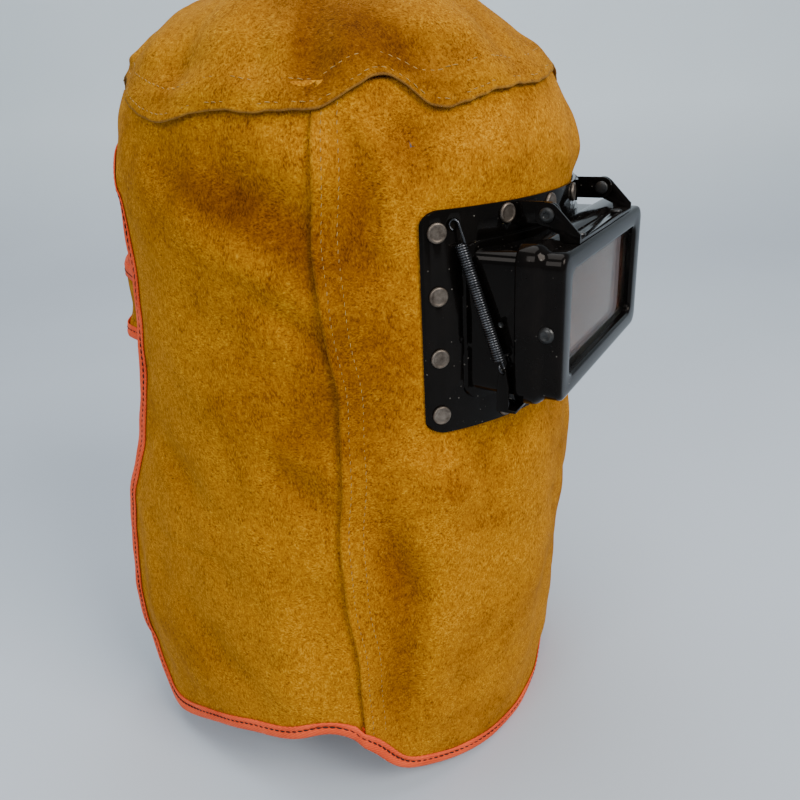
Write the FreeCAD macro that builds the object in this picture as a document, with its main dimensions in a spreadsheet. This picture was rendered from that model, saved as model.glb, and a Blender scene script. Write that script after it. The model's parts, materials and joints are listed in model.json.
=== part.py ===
import FreeCAD, Part
import os
from functools import lru_cache
from math import asin, cos, hypot, pi, radians, sin

import Sketcher

# Welding hood of split leather with a flip-up lens holder. Millimetres.
# +Z is up, -Y is the way the face looks, +X is the wearer's left. The origin is
# the inside of the crown, where the top of the head seats.

DIMENSIONS = {
    # lens holder
    "holder_height": -136.0,     # height of the window's centre
    "front_face": -125.0,        # front of the closed flip front
    "sheet_gauge": 1.2,
    "flip_width": 120.0,
    "flip_height": 59.8,
    "flip_depth": 10.5,
    "flip_corner": 6.0,
    "skirt_width": 124.6,
    "skirt_height": 65.4,
    "skirt_start": 9.5,
    "skirt_end": 18.9,
    "window_width": 97.0,
    "window_height": 42.4,
    "window_corner": 4.5,
    "window_lip": 3.5,
    "filter_width": 108.0,
    "filter_height": 50.8,
    "box_width": 120.4,
    "box_height": 59.2,
    "box_front": 11.0,
    "box_depth": 35.0,
    "box_corner": 5.0,
    "foot_width": 124.6,
    "foot_height": 66.0,
    "foot_gauge": 1.4,
    # curved base plate
    "plate_radius": 107.0,
    "plate_axis": 2.6,
    "plate_width": 149.0,
    "plate_height": 92.0,
    "plate_corner": 6.0,
    "plate_cutout_width": 113.0,
    "plate_cutout_height": 54.4,
    "backing_gap": 6.7,
    "rivet_shank": 1.9,
    "rivet_head": 3.9,
    "rivet_side": 70.4,
    "rivet_outer_row": 37.6,
    "rivet_inner_row": 12.8,
    "rivet_top_row": 41.4,
    "rivet_top_outer": 43.0,
    "rivet_top_inner": 15.0,
    # hinge
    "pivot_forward": 14.3,
    "pivot_up": 40.5,
    "pivot_reach": 37.2,
    "pivot_pin": 2.0,
    "pivot_play": 0.05,
    "lug_radius": 4.8,
    # springs
    "spring_side": 65.0,
    "spring_radius": 2.5,
    "spring_wire": 0.75,
    "hook_radius": 2.0,
    "anchor_back": 42.2,
    "anchor_up": 40.0,
    "tab_back": 22.0,
    "tab_down": -17.0,
    "coil_start": 8.6,
    "coil_end": 5.0,
    # leather
    "leather": 2.0,
    "crown_edge": -50.0,
    "panel_top": -42.4,
    "seam_front": -43.0,
    "binding_width": 7.5,
    "opening_top": -58.2,
    "opening_half": 78.0,
    "strap_low": -158.0,
    "strap_high": -122.0,
    "strap_gauge": 1.8,
    "strap_lift": 2.2,
    "strap_sewn_front": 58.0,
    "strap_sewn_back": 78.0,
}

# Hood sections: height, half width, depth in front of the axis, depth behind it.
HOOD_SECTIONS = (
    (-30.0, 87.0, 84.0, 106.0), (-56.0, 97.0, 98.0, 119.5), (-76.0, 101.0, 104.4, 122.0),
    (-90.0, 103.0, 102.6, 119.5), (-136.0, 104.3, 102.4, 119.0), (-182.0, 105.0, 102.6, 127.0),
    (-200.0, 106.5, 104.6, 134.0), (-256.0, 112.0, 103.9, 155.0), (-296.0, 115.2, 100.2, 159.5),
    (-336.0, 116.6, 95.7, 157.5), (-376.0, 117.0, 90.8, 150.0), (-400.0, 117.0, 87.5, 145.0),
)
CROWN_SECTIONS = (
    (-52.0, 95.6, 96.0, 118.0), (-40.0, 91.5, 89.5, 112.0), (-26.0, 81.5, 75.0, 102.5),
    (-13.0, 63.5, 56.0, 84.0), (-4.0, 42.0, 37.0, 57.0), (2.0, 14.0, 12.0, 19.0),
)
# Hem seen from the side, from the back corner to the front: depth, height.
HEM = [
    (190.0, -240.0), (136.0, -312.0), (118.0, -344.0), (98.0, -364.0), (70.0, -365.0),
    (42.0, -355.0), (13.0, -345.0), (-15.0, -339.0), (-39.0, -334.0), (-49.0, -344.0),
    (-59.0, -361.0), (-70.0, -368.0), (-84.0, -376.0), (-100.0, -388.0), (-130.0, -392.0),
]

doc = FreeCAD.newDocument("welding_hood")
sheet = doc.addObject("Spreadsheet::Sheet", "Dims")
for row, (alias, number) in enumerate(DIMENSIONS.items(), start=1):
    sheet.set(f"A{row}", alias)
    sheet.set(f"B{row}", str(number))
    sheet.setAlias(f"B{row}", alias)
doc.recompute()

vec = FreeCAD.Vector
subparts = []
SEAT_GAP = 0.05              # between two pieces that touch
SIDE_HOLE = 1.25             # clearance hole of a small rivet
FILTER_RIVET = (6.4, -1.4)   # depth behind the face and height from the window's centre
COVER_RIVET = (25.0, 0.8)
BAIL_RIVET = (28.0, 4.7)     # distance to the side and depth behind the face
BAIL_BASE = 30.1             # underside of the bail, above the window's centre


def dim(alias):
    """A driving dimension, read from the spreadsheet."""
    return float(sheet.get(alias))


def keep(obj, label):
    """Marks an object of the document as a sub-part and names it."""
    obj.Label = label
    subparts.append(obj)
    return obj


def feature(label, shape, height=None):
    """A Part::Feature with a shape of its own, raised to a height from the sheet."""
    obj = doc.addObject("Part::Feature", label)
    obj.Shape = shape
    obj.Placement = FreeCAD.Placement()
    if height:
        obj.setExpression("Placement.Base.z", f"Dims.{height}")
    return keep(obj, label)


def mirrored(shape):
    """The same shape on the wearer's other side."""
    return shape.mirror(vec(0, 0, 0), vec(1, 0, 0))


# ---------------------------------------------------------------- lens holder
# Every piece of the holder is drawn round the window's centre line and placed at
# its height. Depths count backwards from the flip front's face.

def depth(distance):
    """Row-frame Y of a point a distance behind the flip front's face."""
    return dim("front_face") + distance


def block(x0, x1, y0, y1, z0, z1):
    return Part.makeBox(x1 - x0, y1 - y0, z1 - z0, vec(x0, y0, z0))


def rounded_rectangle(sketch, width, height, radius):
    """A rounded rectangle centred on the sketch's origin, its sizes bound to expressions."""
    sheet_values = [sketch.evalExpression(text) for text in (width, height, radius)]
    w, h, r = (float(getattr(value, "Value", value)) for value in sheet_values)
    x, y = w / 2 - r, h / 2 - r
    corners = [(x, -y, -90), (x, y, 0), (-x, y, 90), (-x, -y, 180)]
    sides = [((-x, -h / 2), (x, -h / 2)), ((w / 2, -y), (w / 2, y)), ((x, h / 2), (-x, h / 2)),
             ((-w / 2, y), (-w / 2, -y))]
    for (start, end), (cx, cy, angle) in zip(sides, corners):
        sketch.addGeometry(Part.LineSegment(vec(*start, 0), vec(*end, 0)))
        circle = Part.Circle(vec(cx, cy, 0), vec(0, 0, 1), r)
        sketch.addGeometry(Part.ArcOfCircle(circle, radians(angle), radians(angle + 90)))
    for side in range(4):
        line, arc = 2 * side, 2 * side + 1
        sketch.addConstraint(Sketcher.Constraint("Tangent", line, 2, arc, 1))
        sketch.addConstraint(Sketcher.Constraint("Tangent", arc, 2, (line + 2) % 8, 1))
        sketch.addConstraint(Sketcher.Constraint("Vertical" if side % 2 else "Horizontal", line))
    for arc in (3, 5, 7):
        sketch.addConstraint(Sketcher.Constraint("Equal", 1, arc))
    sketch.addConstraint(Sketcher.Constraint("Symmetric", 1, 3, 5, 3, -1, 1))
    driving = [("width", width, Sketcher.Constraint("DistanceX", 6, 1, 2, 1, w)),
               ("height", height, Sketcher.Constraint("DistanceY", 0, 1, 4, 1, h)),
               ("corner", radius, Sketcher.Constraint("Radius", 1, r))]
    for name, expression, constraint in driving:
        index = sketch.addConstraint(constraint)
        sketch.renameConstraint(index, name)
        sketch.setExpression(f"Constraints.{name}", expression)


def front_sketch(body, name, behind_face, width, height, radius):
    """A rounded rectangle on a plane parallel to the window, a distance behind the face."""
    sketch = body.newObject("Sketcher::SketchObject", name)
    plane = next(item for item in body.Origin.OriginFeatures if item.Role == "XZ_Plane")
    sketch.AttachmentSupport = [(plane, "")]
    sketch.MapMode = "FlatFace"
    sketch.setExpression("AttachmentOffset.Base.z", f"-(Dims.front_face + {behind_face})")
    rounded_rectangle(sketch, width, height, radius)
    return sketch


def holder_body(label):
    body = doc.addObject("PartDesign::Body", label)
    body.setExpression("Placement.Base.z", "Dims.holder_height")
    return keep(body, label)


def pad_back(body, sketch, length):
    """Pads a sketch towards the back (+Y)."""
    pad = body.newObject("PartDesign::Pad", f"{sketch.Name}_pad")
    pad.Profile = sketch
    pad.Reversed = True
    pad.setExpression("Length", length)
    doc.recompute()
    return pad


def pocket_back(body, sketch):
    """Cuts a sketch through everything behind it, and checks that it cut something."""
    before = body.Shape.Volume
    pocket = body.newObject("PartDesign::Pocket", f"{sketch.Name}_pocket")
    pocket.Profile = sketch
    pocket.Type = "ThroughAll"
    doc.recompute()
    if not body.Shape.Volume < before - 1.0:
        raise RuntimeError(f"{pocket.Name} cut nothing")
    return pocket


def round_over(body, name, radius):
    """Rounds every edge that lies in the plane of the flip front's face."""
    fillet = body.newObject("PartDesign::Fillet", name)
    base = body.Group[-2]
    rims = [f"Edge{number}" for number, edge in enumerate(base.Shape.Edges, start=1)
            if all(abs(vertex.Y - dim("front_face")) < 1e-4 for vertex in edge.Vertexes)]
    fillet.Base = (base, rims)
    fillet.setExpression("Radius", radius)
    doc.recompute()


def make_flip_front():
    """Pressed steel front: a shallow box with a flared skirt and a turned-in window."""
    body = holder_body("flip_front")
    inner = "Dims.flip_corner - Dims.sheet_gauge"
    pad_back(body, front_sketch(body, "FlipOuter", "0", "Dims.flip_width", "Dims.flip_height",
                                "Dims.flip_corner"), "Dims.flip_depth")
    round_over(body, "FlipRoundOver", "Dims.sheet_gauge * 1.5")
    pad_back(body, front_sketch(body, "SkirtOuter", "Dims.skirt_start", "Dims.skirt_width",
                                "Dims.skirt_height", "Dims.flip_corner + 2"),
             "Dims.skirt_end - Dims.skirt_start")
    pocket_back(body, front_sketch(body, "FlipInner", "Dims.sheet_gauge",
                                   "Dims.flip_width - 2 * Dims.sheet_gauge",
                                   "Dims.flip_height - 2 * Dims.sheet_gauge", inner))
    pocket_back(body, front_sketch(body, "SkirtInner", "Dims.skirt_start + Dims.sheet_gauge",
                                   "Dims.skirt_width - 2 * Dims.sheet_gauge",
                                   "Dims.skirt_height - 2 * Dims.sheet_gauge", inner + " + 2"))
    pad_back(body, front_sketch(body, "WindowLip", "0", "Dims.window_width + 2 * Dims.sheet_gauge",
                                "Dims.window_height + 2 * Dims.sheet_gauge",
                                "Dims.window_corner + Dims.sheet_gauge"), "Dims.window_lip")
    pocket_back(body, front_sketch(body, "Window", "0", "Dims.window_width", "Dims.window_height",
                                   "Dims.window_corner"))


def make_lens_box():
    """Fixed tunnel behind the flip front: tube with a turned-in front lip and a foot flange."""
    tube = holder_body("lens_box_tube")
    subparts.remove(tube)
    pad_back(tube, front_sketch(tube, "TubeOuter", "Dims.box_front", "Dims.box_width",
                                "Dims.box_height", "Dims.box_corner"), "Dims.box_depth")
    pocket_back(tube, front_sketch(tube, "TubeInner", "Dims.box_front + Dims.sheet_gauge",
                                   "Dims.box_width - 2 * Dims.sheet_gauge",
                                   "Dims.box_height - 2 * Dims.sheet_gauge",
                                   "Dims.box_corner - Dims.sheet_gauge"))
    pocket_back(tube, front_sketch(tube, "TubeWindow", "Dims.box_front", "Dims.window_width + 2",
                                   "Dims.window_height + 2", "Dims.window_corner"))
    face_solid = doc.addObject("Part::Feature", "face_cylinder")
    face_solid.Shape = Part.makeCylinder(dim("plate_radius") + SEAT_GAP, 120.0,
                                         vec(0, dim("plate_axis"), -60.0))
    face_solid.setExpression("Placement.Base.z", "Dims.holder_height")
    foot = doc.addObject("Part::Feature", "lens_box_foot")
    foot.Shape = face_band(SEAT_GAP, dim("foot_gauge"), dim("foot_width"), dim("foot_height"), 6.0,
                           dim("box_width") - 2.0, dim("box_height") - 2.0)
    foot.setExpression("Placement.Base.z", "Dims.holder_height")
    cut = doc.addObject("Part::Cut", "lens_box_scribed")
    cut.Base = tube
    cut.Tool = face_solid
    fuse = doc.addObject("Part::Fuse", "lens_box")
    fuse.Base = cut
    fuse.Tool = foot
    keep(fuse, "lens_box")


def rounded_prism(width, height, radius, y0, y1):
    """A rounded rectangle seen from the front, run from one depth to another."""
    solid = block(-width / 2, width / 2, y0, y1, -height / 2, height / 2)
    lengthwise = [edge for edge in solid.Edges if abs(edge.tangentAt(edge.FirstParameter).y) > 0.9]
    return solid.makeFillet(radius, lengthwise) if radius else solid


def face_band(rise, gauge, width, height, radius, cut_width=0.0, cut_height=0.0):
    """Sheet curved round the face: a cylinder wall trimmed to a rounded outline, with a cutout."""
    centre = vec(0, dim("plate_axis"), -height)
    inner = dim("plate_radius") + rise
    wall = Part.makeCylinder(inner + gauge, 2 * height, centre)
    wall = wall.cut(Part.makeCylinder(inner, 2 * height, centre))
    wall = wall.common(rounded_prism(width, height, radius, -130.0, 0.0))
    if cut_width:
        wall = wall.cut(rounded_prism(cut_width, cut_height, 3.0, -130.0, 0.0))
    return wall


def plate_holes(radius):
    """Radial cylinders at every plate rivet."""
    side, top = dim("rivet_side"), dim("rivet_top_row")
    places = [(sign * side, z) for sign in (-1, 1)
              for z in (-dim("rivet_outer_row"), -dim("rivet_inner_row"), dim("rivet_inner_row"),
                        dim("rivet_outer_row"))]
    places += [(sign * dim("rivet_top_outer"), z) for sign in (-1, 1) for z in (-top, top)]
    places += [(sign * dim("rivet_top_inner"), top) for sign in (-1, 1)]
    return [radial_cylinder(x, z, radius, 95.0, 115.0) for x, z in places], places


def radial_cylinder(x, z, radius, inner, outer):
    """A cylinder square to the curved plate at a place across it."""
    angle = asin(x / dim("plate_radius"))
    way = vec(sin(angle), -cos(angle), 0)
    start = vec(0, dim("plate_axis"), z) + way * inner
    return Part.makeCylinder(radius, outer - inner, start, way)


def make_plate_set():
    """Base plate, the frame behind the leather, and the rivets that clamp them."""
    gauge = dim("sheet_gauge")
    cutters, places = plate_holes(dim("rivet_shank") + 0.05)
    plate = face_band(-gauge, gauge, dim("plate_width"), dim("plate_height"), dim("plate_corner"),
                      dim("plate_cutout_width"), dim("plate_cutout_height"))
    anchor_holes = [Part.makeCylinder(dim("hook_radius") + 0.6, 20.0,
                                      vec(sign * dim("spring_side"), depth(35.0), dim("anchor_up")),
                                      vec(0, 1, 0)) for sign in (-1, 1)]
    feature("base_plate", plate.cut(cutters + anchor_holes), "holder_height")
    frame = face_band(-dim("backing_gap"), 1.0, dim("plate_width") - 2.0, dim("plate_height"),
                      dim("plate_corner"), dim("plate_cutout_width") + 12.0, dim("plate_cutout_height") + 12.0)
    feature("backing_frame", frame.cut(cutters), "holder_height")
    radius = dim("plate_radius")
    rivets = []
    for x, z in places:
        burr_outer = radius - dim("backing_gap") - SEAT_GAP
        shank = radial_cylinder(x, z, dim("rivet_shank"), burr_outer - 0.6, radius + 0.6)
        head = radial_cylinder(x, z, dim("rivet_head"), radius + SEAT_GAP, radius + 1.3)
        rim = [edge for edge in head.Edges if edge.Curve.TypeId == "Part::GeomCircle"]
        outer = max(rim, key=lambda edge: hypot(edge.CenterOfMass.x,
                                                edge.CenterOfMass.y - dim("plate_axis")))
        burr = radial_cylinder(x, z, 3.2, burr_outer - 1.0, burr_outer)
        rivets.append(head.makeFillet(0.5, [outer]).fuse([shank, burr]).removeSplitter())
    feature("plate_rivets", Part.makeCompound(rivets), "holder_height")


def make_glass_stack():
    """Lenses, gasket and retaining frames of both halves of the holder."""
    width, height = dim("filter_width"), dim("filter_height")
    layers = [("filter_cover_glass", 3.6, 2.0, 0), ("filter_gasket", 5.65, 0.7, 6),
              ("dark_filter_glass", 6.4, 2.6, 0), ("filter_retainer", 9.05, 0.9, 8),
              ("clear_cover_gasket", 12.25, 0.7, 5), ("clear_cover_glass", 13.0, 2.4, 0),
              ("clear_cover_retainer", 15.45, 0.9, 7)]
    for label, behind, gauge, rim in layers:
        if rim:
            outer = rounded_prism(width, height, 1.5, depth(behind), depth(behind + gauge))
            hollow = rounded_prism(width - 2 * rim, height - 2 * rim, 2.5, depth(behind - 1),
                                   depth(behind + gauge + 1))
            feature(label, outer.cut(hollow), "holder_height")
            continue
        glass = doc.addObject("Part::Box", label)
        glass.setExpression("Length", "Dims.filter_width")
        glass.Width = gauge
        glass.setExpression("Height", "Dims.filter_height")
        glass.setExpression("Placement.Base.x", "-Dims.filter_width / 2")
        glass.setExpression("Placement.Base.y", f"Dims.front_face + {behind}")
        glass.setExpression("Placement.Base.z", "Dims.holder_height - Dims.filter_height / 2")
        keep(glass, label)


def side_rivets(label, wall, behind, up, head_radius, head_height):
    """One domed rivet through each side wall."""
    solids, reach = [], 3.0
    for sign in (-1, 1):
        way = vec(sign, 0, 0)
        base = vec(sign * (wall + SEAT_GAP), depth(behind), up)
        head = Part.makeCylinder(head_radius, head_height, base, way)
        edge = max(head.Edges, key=lambda item: abs(item.CenterOfMass.x))
        head = head.makeFillet(head_height * 0.7, [edge])
        shank = Part.makeCylinder(1.2, reach, base - way * (reach - 0.5), way)
        solids.append(head.fuse(shank).removeSplitter())
    feature(label, Part.makeCompound(solids), "holder_height")


def pierce(label, holes):
    """Opens clearance holes, given round the window's centre, in a body of the holder."""
    body = next(item for item in subparts if item.Label == label)
    tool = doc.addObject("Part::Feature", f"{label}_holes")
    tool.Shape = Part.makeCompound(holes)
    tool.setExpression("Placement.Base.z", "Dims.holder_height")
    cut = doc.addObject("Part::Cut", f"{label}_pierced")
    cut.Base = body
    cut.Tool = tool
    subparts.remove(body)
    body.Label = f"{label}_unpierced"
    keep(cut, label)


def side_hole(wall, behind, up):
    """A clearance hole through both side walls."""
    return Part.makeCylinder(SIDE_HOLE, 2 * wall + 10, vec(-wall - 5, depth(behind), up), vec(1, 0, 0))


# ---------------------------------------------------------------------- hinge

def make_hinge():
    """Fixed ears, pins and washers, and the bail that carries the flip front."""
    y_pin, z_pin = depth(dim("pivot_forward")), dim("pivot_up")
    lug, gauge, pin = dim("lug_radius"), dim("sheet_gauge"), dim("pivot_pin")
    reach = dim("pivot_reach")
    bore = pin + dim("pivot_play")
    across = vec(1, 0, 0)

    arm = reach + gauge / 2 + 0.8
    bail_outline = Part.makePolygon([
        vec(arm, depth(0.8), BAIL_BASE), vec(arm, depth(8.6), BAIL_BASE), vec(arm, depth(9.2), 33.2),
        vec(arm, y_pin + lug * 0.72, z_pin - lug * 0.72), vec(arm, y_pin - lug * 0.72, z_pin + lug * 0.72),
        vec(arm, depth(0.8), 33.5), vec(arm, depth(0.8), BAIL_BASE)])
    plate = Part.Face(bail_outline).extrude(vec(gauge, 0, 0))
    plate = plate.fuse(Part.makeCylinder(lug, gauge, vec(arm, y_pin, z_pin), across))
    plate = plate.cut(Part.makeCylinder(bore, 10.0, vec(arm - 5, y_pin, z_pin), across))
    web = block(-arm - 0.1, arm + 0.1, depth(0.8), depth(8.6), BAIL_BASE, BAIL_BASE + gauge)
    bail = web.fuse([plate, mirrored(plate)]).removeSplitter()
    across_x, behind = BAIL_RIVET
    seats = [vec(sign * across_x, depth(behind), 27.0) for sign in (-1, 1)]
    rivet_holes = [Part.makeCylinder(SIDE_HOLE, 6.0, seat) for seat in seats]
    feature("hinge_bail", bail.cut(rivet_holes), "holder_height")
    pierce("flip_front", [hole.copy() for hole in rivet_holes]
           + [side_hole(dim("flip_width") / 2, *FILTER_RIVET)])
    studs = [Part.makeCylinder(1.2, 3.4, seat + vec(0, 0, 1.2)).fuse(
        Part.makeCylinder(2.6, 1.0, seat + vec(0, 0, 4.35))) for seat in seats]
    feature("bail_rivets", Part.makeCompound(studs), "holder_height")

    for side, sign in (("left", 1), ("right", -1)):
        ear_x = reach - gauge / 2
        ear = block(ear_x, ear_x + gauge, y_pin, depth(34.0), z_pin - lug, z_pin + lug)
        ear = ear.fuse(Part.makeCylinder(lug, gauge, vec(ear_x, y_pin, z_pin), across))
        face = Part.makeCylinder(dim("plate_radius") + 0.05, 120.0, vec(0, dim("plate_axis"), -60.0))
        foot = face_band(0.05, gauge, 2 * (ear_x + gauge), 90.0, 0)
        foot = foot.common(block(ear_x - 9.0, ear_x + gauge, -130.0, 0.0, z_pin - lug, z_pin + lug))
        ear = ear.cut(face).fuse(foot).removeSplitter()
        ear = ear.cut(Part.makeCylinder(bore, 10.0, vec(ear_x - 5, y_pin, z_pin), across))
        pin_solid = Part.makeCylinder(pin, arm + gauge + 0.3 - ear_x, vec(ear_x - 0.15, y_pin, z_pin), across)
        heads = [Part.makeCylinder(3.0, 1.2, vec(ear_x - 1.3, y_pin, z_pin), across),
                 Part.makeCylinder(3.0, 1.4, vec(arm + gauge + 0.1, y_pin, z_pin), across)]
        pin_solid = pin_solid.fuse(heads).removeSplitter()
        washer = Part.makeCylinder(3.8, 0.6, vec(ear_x + gauge + 0.1, y_pin, z_pin), across)
        washer = washer.cut(Part.makeCylinder(bore, 4.0, vec(ear_x, y_pin, z_pin), across))
        for label, solid in (("hinge_ear", ear), ("pivot_pin", pin_solid), ("pivot_washer", washer)):
            feature(f"{label}_{side}", solid if sign > 0 else mirrored(solid), "holder_height")


# -------------------------------------------------------------------- springs

def make_springs():
    """Extension springs from the plate's upper corners to tabs on the flip front."""
    side, gauge = dim("spring_side"), dim("sheet_gauge")
    top = vec(side, depth(dim("anchor_back")), dim("anchor_up"))
    low = vec(side, depth(dim("tab_back")), dim("tab_down"))
    way = (low - top).normalize()
    length = (low - top).Length
    wire, hook = dim("spring_wire") / 2, dim("hook_radius")
    coil_from, coil_to = dim("coil_start"), length - dim("coil_end")
    coil = Part.makeCylinder(dim("spring_radius"), coil_to - coil_from, top + way * coil_from, way)
    coil = coil.cut(Part.makeCylinder(dim("spring_radius") - 2 * wire, coil_to - coil_from - 2.0,
                                      top + way * (coil_from + 1.0), way))
    stem = Part.makeCylinder(wire, coil_from - hook + 0.5, top + way * hook, way)
    ring = Part.makeTorus(hook, wire, top, vec(1, 0, 0))
    upper = coil.fuse([stem, ring])
    ring_centre = low - way * hook
    tail_ring = Part.makeTorus(hook, wire, ring_centre, way.cross(vec(1, 0, 0)))
    tail_stem = Part.makeCylinder(wire, dim("coil_end") - 2 * hook - 0.2,
                                  low - way * (dim("coil_end") - 0.2), way)
    tail = tail_ring.fuse(tail_stem)

    tab_x, lug, tip, hook_hole = side - gauge / 2, 2.5, 1.55, 0.85
    foot = dim("skirt_height") / 2 + 0.1
    outline = [(low.y - lug, -foot - gauge), (low.y + lug, -foot - gauge), (low.y + lug, low.z - 6.0),
               (low.y + tip, low.z), (low.y - tip, low.z), (low.y - lug, low.z - 6.0)]
    strip = Part.makePolygon([vec(tab_x, *corner) for corner in outline + outline[:1]])
    tab = Part.Face(strip).extrude(vec(gauge, 0, 0))
    tab = tab.fuse(Part.makeCylinder(tip, gauge, vec(tab_x, low.y, low.z), vec(1, 0, 0)))
    leg = block(54.0, tab_x + gauge, depth(dim("skirt_end") - 2.5), low.y + lug, -foot - gauge, -foot)
    tab = tab.fuse(leg).removeSplitter()
    tab = tab.cut(Part.makeCylinder(hook_hole, 6.0, vec(tab_x - 2, low.y, low.z), vec(1, 0, 0)))
    for name, sign in (("left", 1), ("right", -1)):
        for label, solid in (("spring", upper), ("spring_tail", tail), ("spring_tab", tab)):
            feature(f"{label}_{name}", solid if sign > 0 else mirrored(solid), "holder_height")


# -------------------------------------------------------------------- leather

def section_wire(height, half_width, front, back):
    """A closed egg-shaped section: half an ellipse in front and half of another behind."""
    points = []
    for step in range(24):
        angle = 2 * pi * step / 24
        reach = front if cos(angle) > 0 else back
        points.append(vec(half_width * sin(angle), -reach * cos(angle), height))
    curve = Part.BSplineCurve()
    curve.interpolate(points, PeriodicFlag=True)
    return Part.Wire(curve.toShape())


@lru_cache(maxsize=None)
def hull(sections, outward, rise=0.0):
    """The solid inside a stack of sections, grown outwards by a distance."""
    return Part.makeLoft([section_wire(z + rise, a + outward, front + outward, back + outward)
                          for z, a, front, back in sections], True)


def leather_shell(inner, outer):
    """The wall between two distances outside the hood's outer surface."""
    return hull(HOOD_SECTIONS, outer).cut(hull(HOOD_SECTIONS, inner))


def below_hem(inset):
    """Everything under the hem line, raised by an inset."""
    curve = Part.BSplineCurve()
    curve.interpolate([vec(-150, y, z + inset) for y, z in HEM])
    start, end = curve.value(curve.FirstParameter), curve.value(curve.LastParameter)
    floor = [end, vec(-150, end.y, -460), vec(-150, start.y, -460), start]
    wire = Part.Wire([curve.toShape()] + Part.makePolygon(floor).Edges)
    return Part.Face(wire).extrude(vec(300, 0, 0))


def back_opening(inset):
    """The arched opening behind the head, widened by an inset."""
    half, top = dim("opening_half") + inset * 0.7, dim("opening_top") + inset
    arch = 40.0
    points = [vec(half * cos(radians(angle)), 40, top - arch + arch * sin(radians(angle)))
              for angle in range(0, 181, 15)]
    curve = Part.BSplineCurve()
    curve.interpolate(points)
    sill = [points[-1], vec(-half, 40, -460), vec(half, 40, -460), points[0]]
    wire = Part.Wire([curve.toShape()] + Part.makePolygon(sill).Edges)
    return Part.Face(wire).extrude(vec(0, 160, 0))


def make_panels():
    """Front and side panels, and the binding folded over their free edges."""
    top, seam = dim("panel_top"), dim("seam_front")
    wall = leather_shell(-dim("leather"), 0.0)
    edge_cut = below_hem(1.2).fuse(back_opening(1.2))
    trimmed = wall.common(block(-140, 140, -130, 190, -460, top)).cut(edge_cut)
    holder_z = dim("holder_height")
    window = rounded_prism(dim("plate_cutout_width") + 1.0, dim("plate_cutout_height") + 1.0, 3.0,
                           -130.0, 0.0)
    window.translate(vec(0, 0, holder_z))
    cutters, _ = plate_holes(dim("rivet_shank") + 0.05)
    for cutter in cutters:
        cutter.translate(vec(0, 0, holder_z))
    front = trimmed.common(block(-140, 140, -130, seam - 0.15, -460, top)).cut([window] + cutters)
    feature("front_panel", front)
    for side, x0, x1 in (("left", 0.15, 140), ("right", -140, -0.15)):
        panel = trimmed.common(block(x0, x1, seam + 0.15, 190, -460, top)).cut(cutters)
        feature(f"side_panel_{side}", panel)
    width = dim("binding_width")
    zone = below_hem(width).fuse(back_opening(width))
    free = below_hem(0.0).fuse(back_opening(0.0))
    core = leather_shell(-dim("leather") - 0.15, 0.15).cut(below_hem(1.0).fuse(back_opening(1.0)))
    sleeve = leather_shell(-dim("leather") - 1.1, 1.1).common(block(-140, 140, -130, 190, -460, top))
    feature("edge_binding", sleeve.common(zone).cut(free).cut(core))


def make_crown():
    """Domed crown whose raw lower edge laps over the tops of the panels."""
    gauge = dim("leather")
    lap = 2.3
    skirt = leather_shell(0.3, lap).common(block(-140, 140, -140, 190, dim("crown_edge"), -42.0))
    dome = hull(CROWN_SECTIONS, lap).cut(hull(CROWN_SECTIONS, lap - gauge, -gauge))
    dome = dome.common(block(-140, 140, -140, 190, -42.0, 20))
    feature("crown_panel", dome.fuse(skirt).removeSplitter())


BINDING_REACH = 69.5         # how far forward the back opening's binding comes


def make_strap():
    """Strap that closes the back opening: sewn on the right, fastened on the left."""
    low, high = dim("strap_low"), dim("strap_high")
    lift, gauge = dim("strap_lift"), dim("strap_gauge")
    y0, y1 = dim("strap_sewn_front"), dim("strap_sewn_back")
    outer = leather_shell(lift, lift + gauge)
    sewn = leather_shell(0.15, lift + gauge).common(block(-140, 0, y0, BINDING_REACH, low, high))
    free = leather_shell(1.4, lift + gauge).common(block(-140, 0, BINDING_REACH, y1, low, high))
    feature("strap_base", sewn.fuse(free).removeSplitter())
    rear = block(-140, 140, y1 + 0.6, 190, low, high)
    tongue = block(0, 140, y0, y1 + 1.0, low, high)
    feature("closure_strap", outer.common(rear.fuse(tongue)).removeSplitter())
    patch = block(0, 140, y0 + 1.5, y1 - 6.0, low + 3, high - 3)
    feature("strap_loop_patch", leather_shell(0.1, 1.05).common(patch))
    feature("strap_hook_patch", leather_shell(1.15, lift - 0.05).common(patch))


def make_sweatband():
    """Padded band sewn inside the brow."""
    band = leather_shell(-dim("leather") - 4.2, -dim("leather") - 0.3)
    feature("brow_sweatband", band.common(block(-140, 140, -130, -35, -84, -58)))


make_flip_front()
make_lens_box()
make_plate_set()
make_glass_stack()
side_rivets("filter_retainer_rivets", dim("flip_width") / 2, *FILTER_RIVET, 3.0, 1.5)
side_rivets("cover_retainer_rivets", dim("box_width") / 2, *COVER_RIVET, 2.2, 1.0)
pierce("lens_box", [side_hole(dim("box_width") / 2, *COVER_RIVET)])
make_hinge()
make_springs()
make_panels()
make_crown()
make_strap()
make_sweatband()

doc.recompute()
for obj in doc.Objects:
    if "Invalid" in obj.State or "Error" in obj.State:
        raise RuntimeError(f"{obj.Name} failed: {obj.State}")
for obj in subparts:
    if obj.Shape.isNull() or not obj.Shape.isValid() or not obj.Shape.Solids:
        raise RuntimeError(f"{obj.Label} has no valid solid")

os.makedirs("parts", exist_ok=True)
for obj in subparts:
    obj.Shape.exportStep(f"parts/{obj.Label}.step")
    box = obj.Shape.BoundBox
    print(f"{obj.Label:24s} solids {len(obj.Shape.Solids):2d}  volume {obj.Shape.Volume:10.1f}  "
          f"x {box.XMin:.1f} {box.XMax:.1f}  y {box.YMin:.1f} {box.YMax:.1f}  z {box.ZMin:.1f} {box.ZMax:.1f}")
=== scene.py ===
import json
from math import cos, pi, radians, sin

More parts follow.
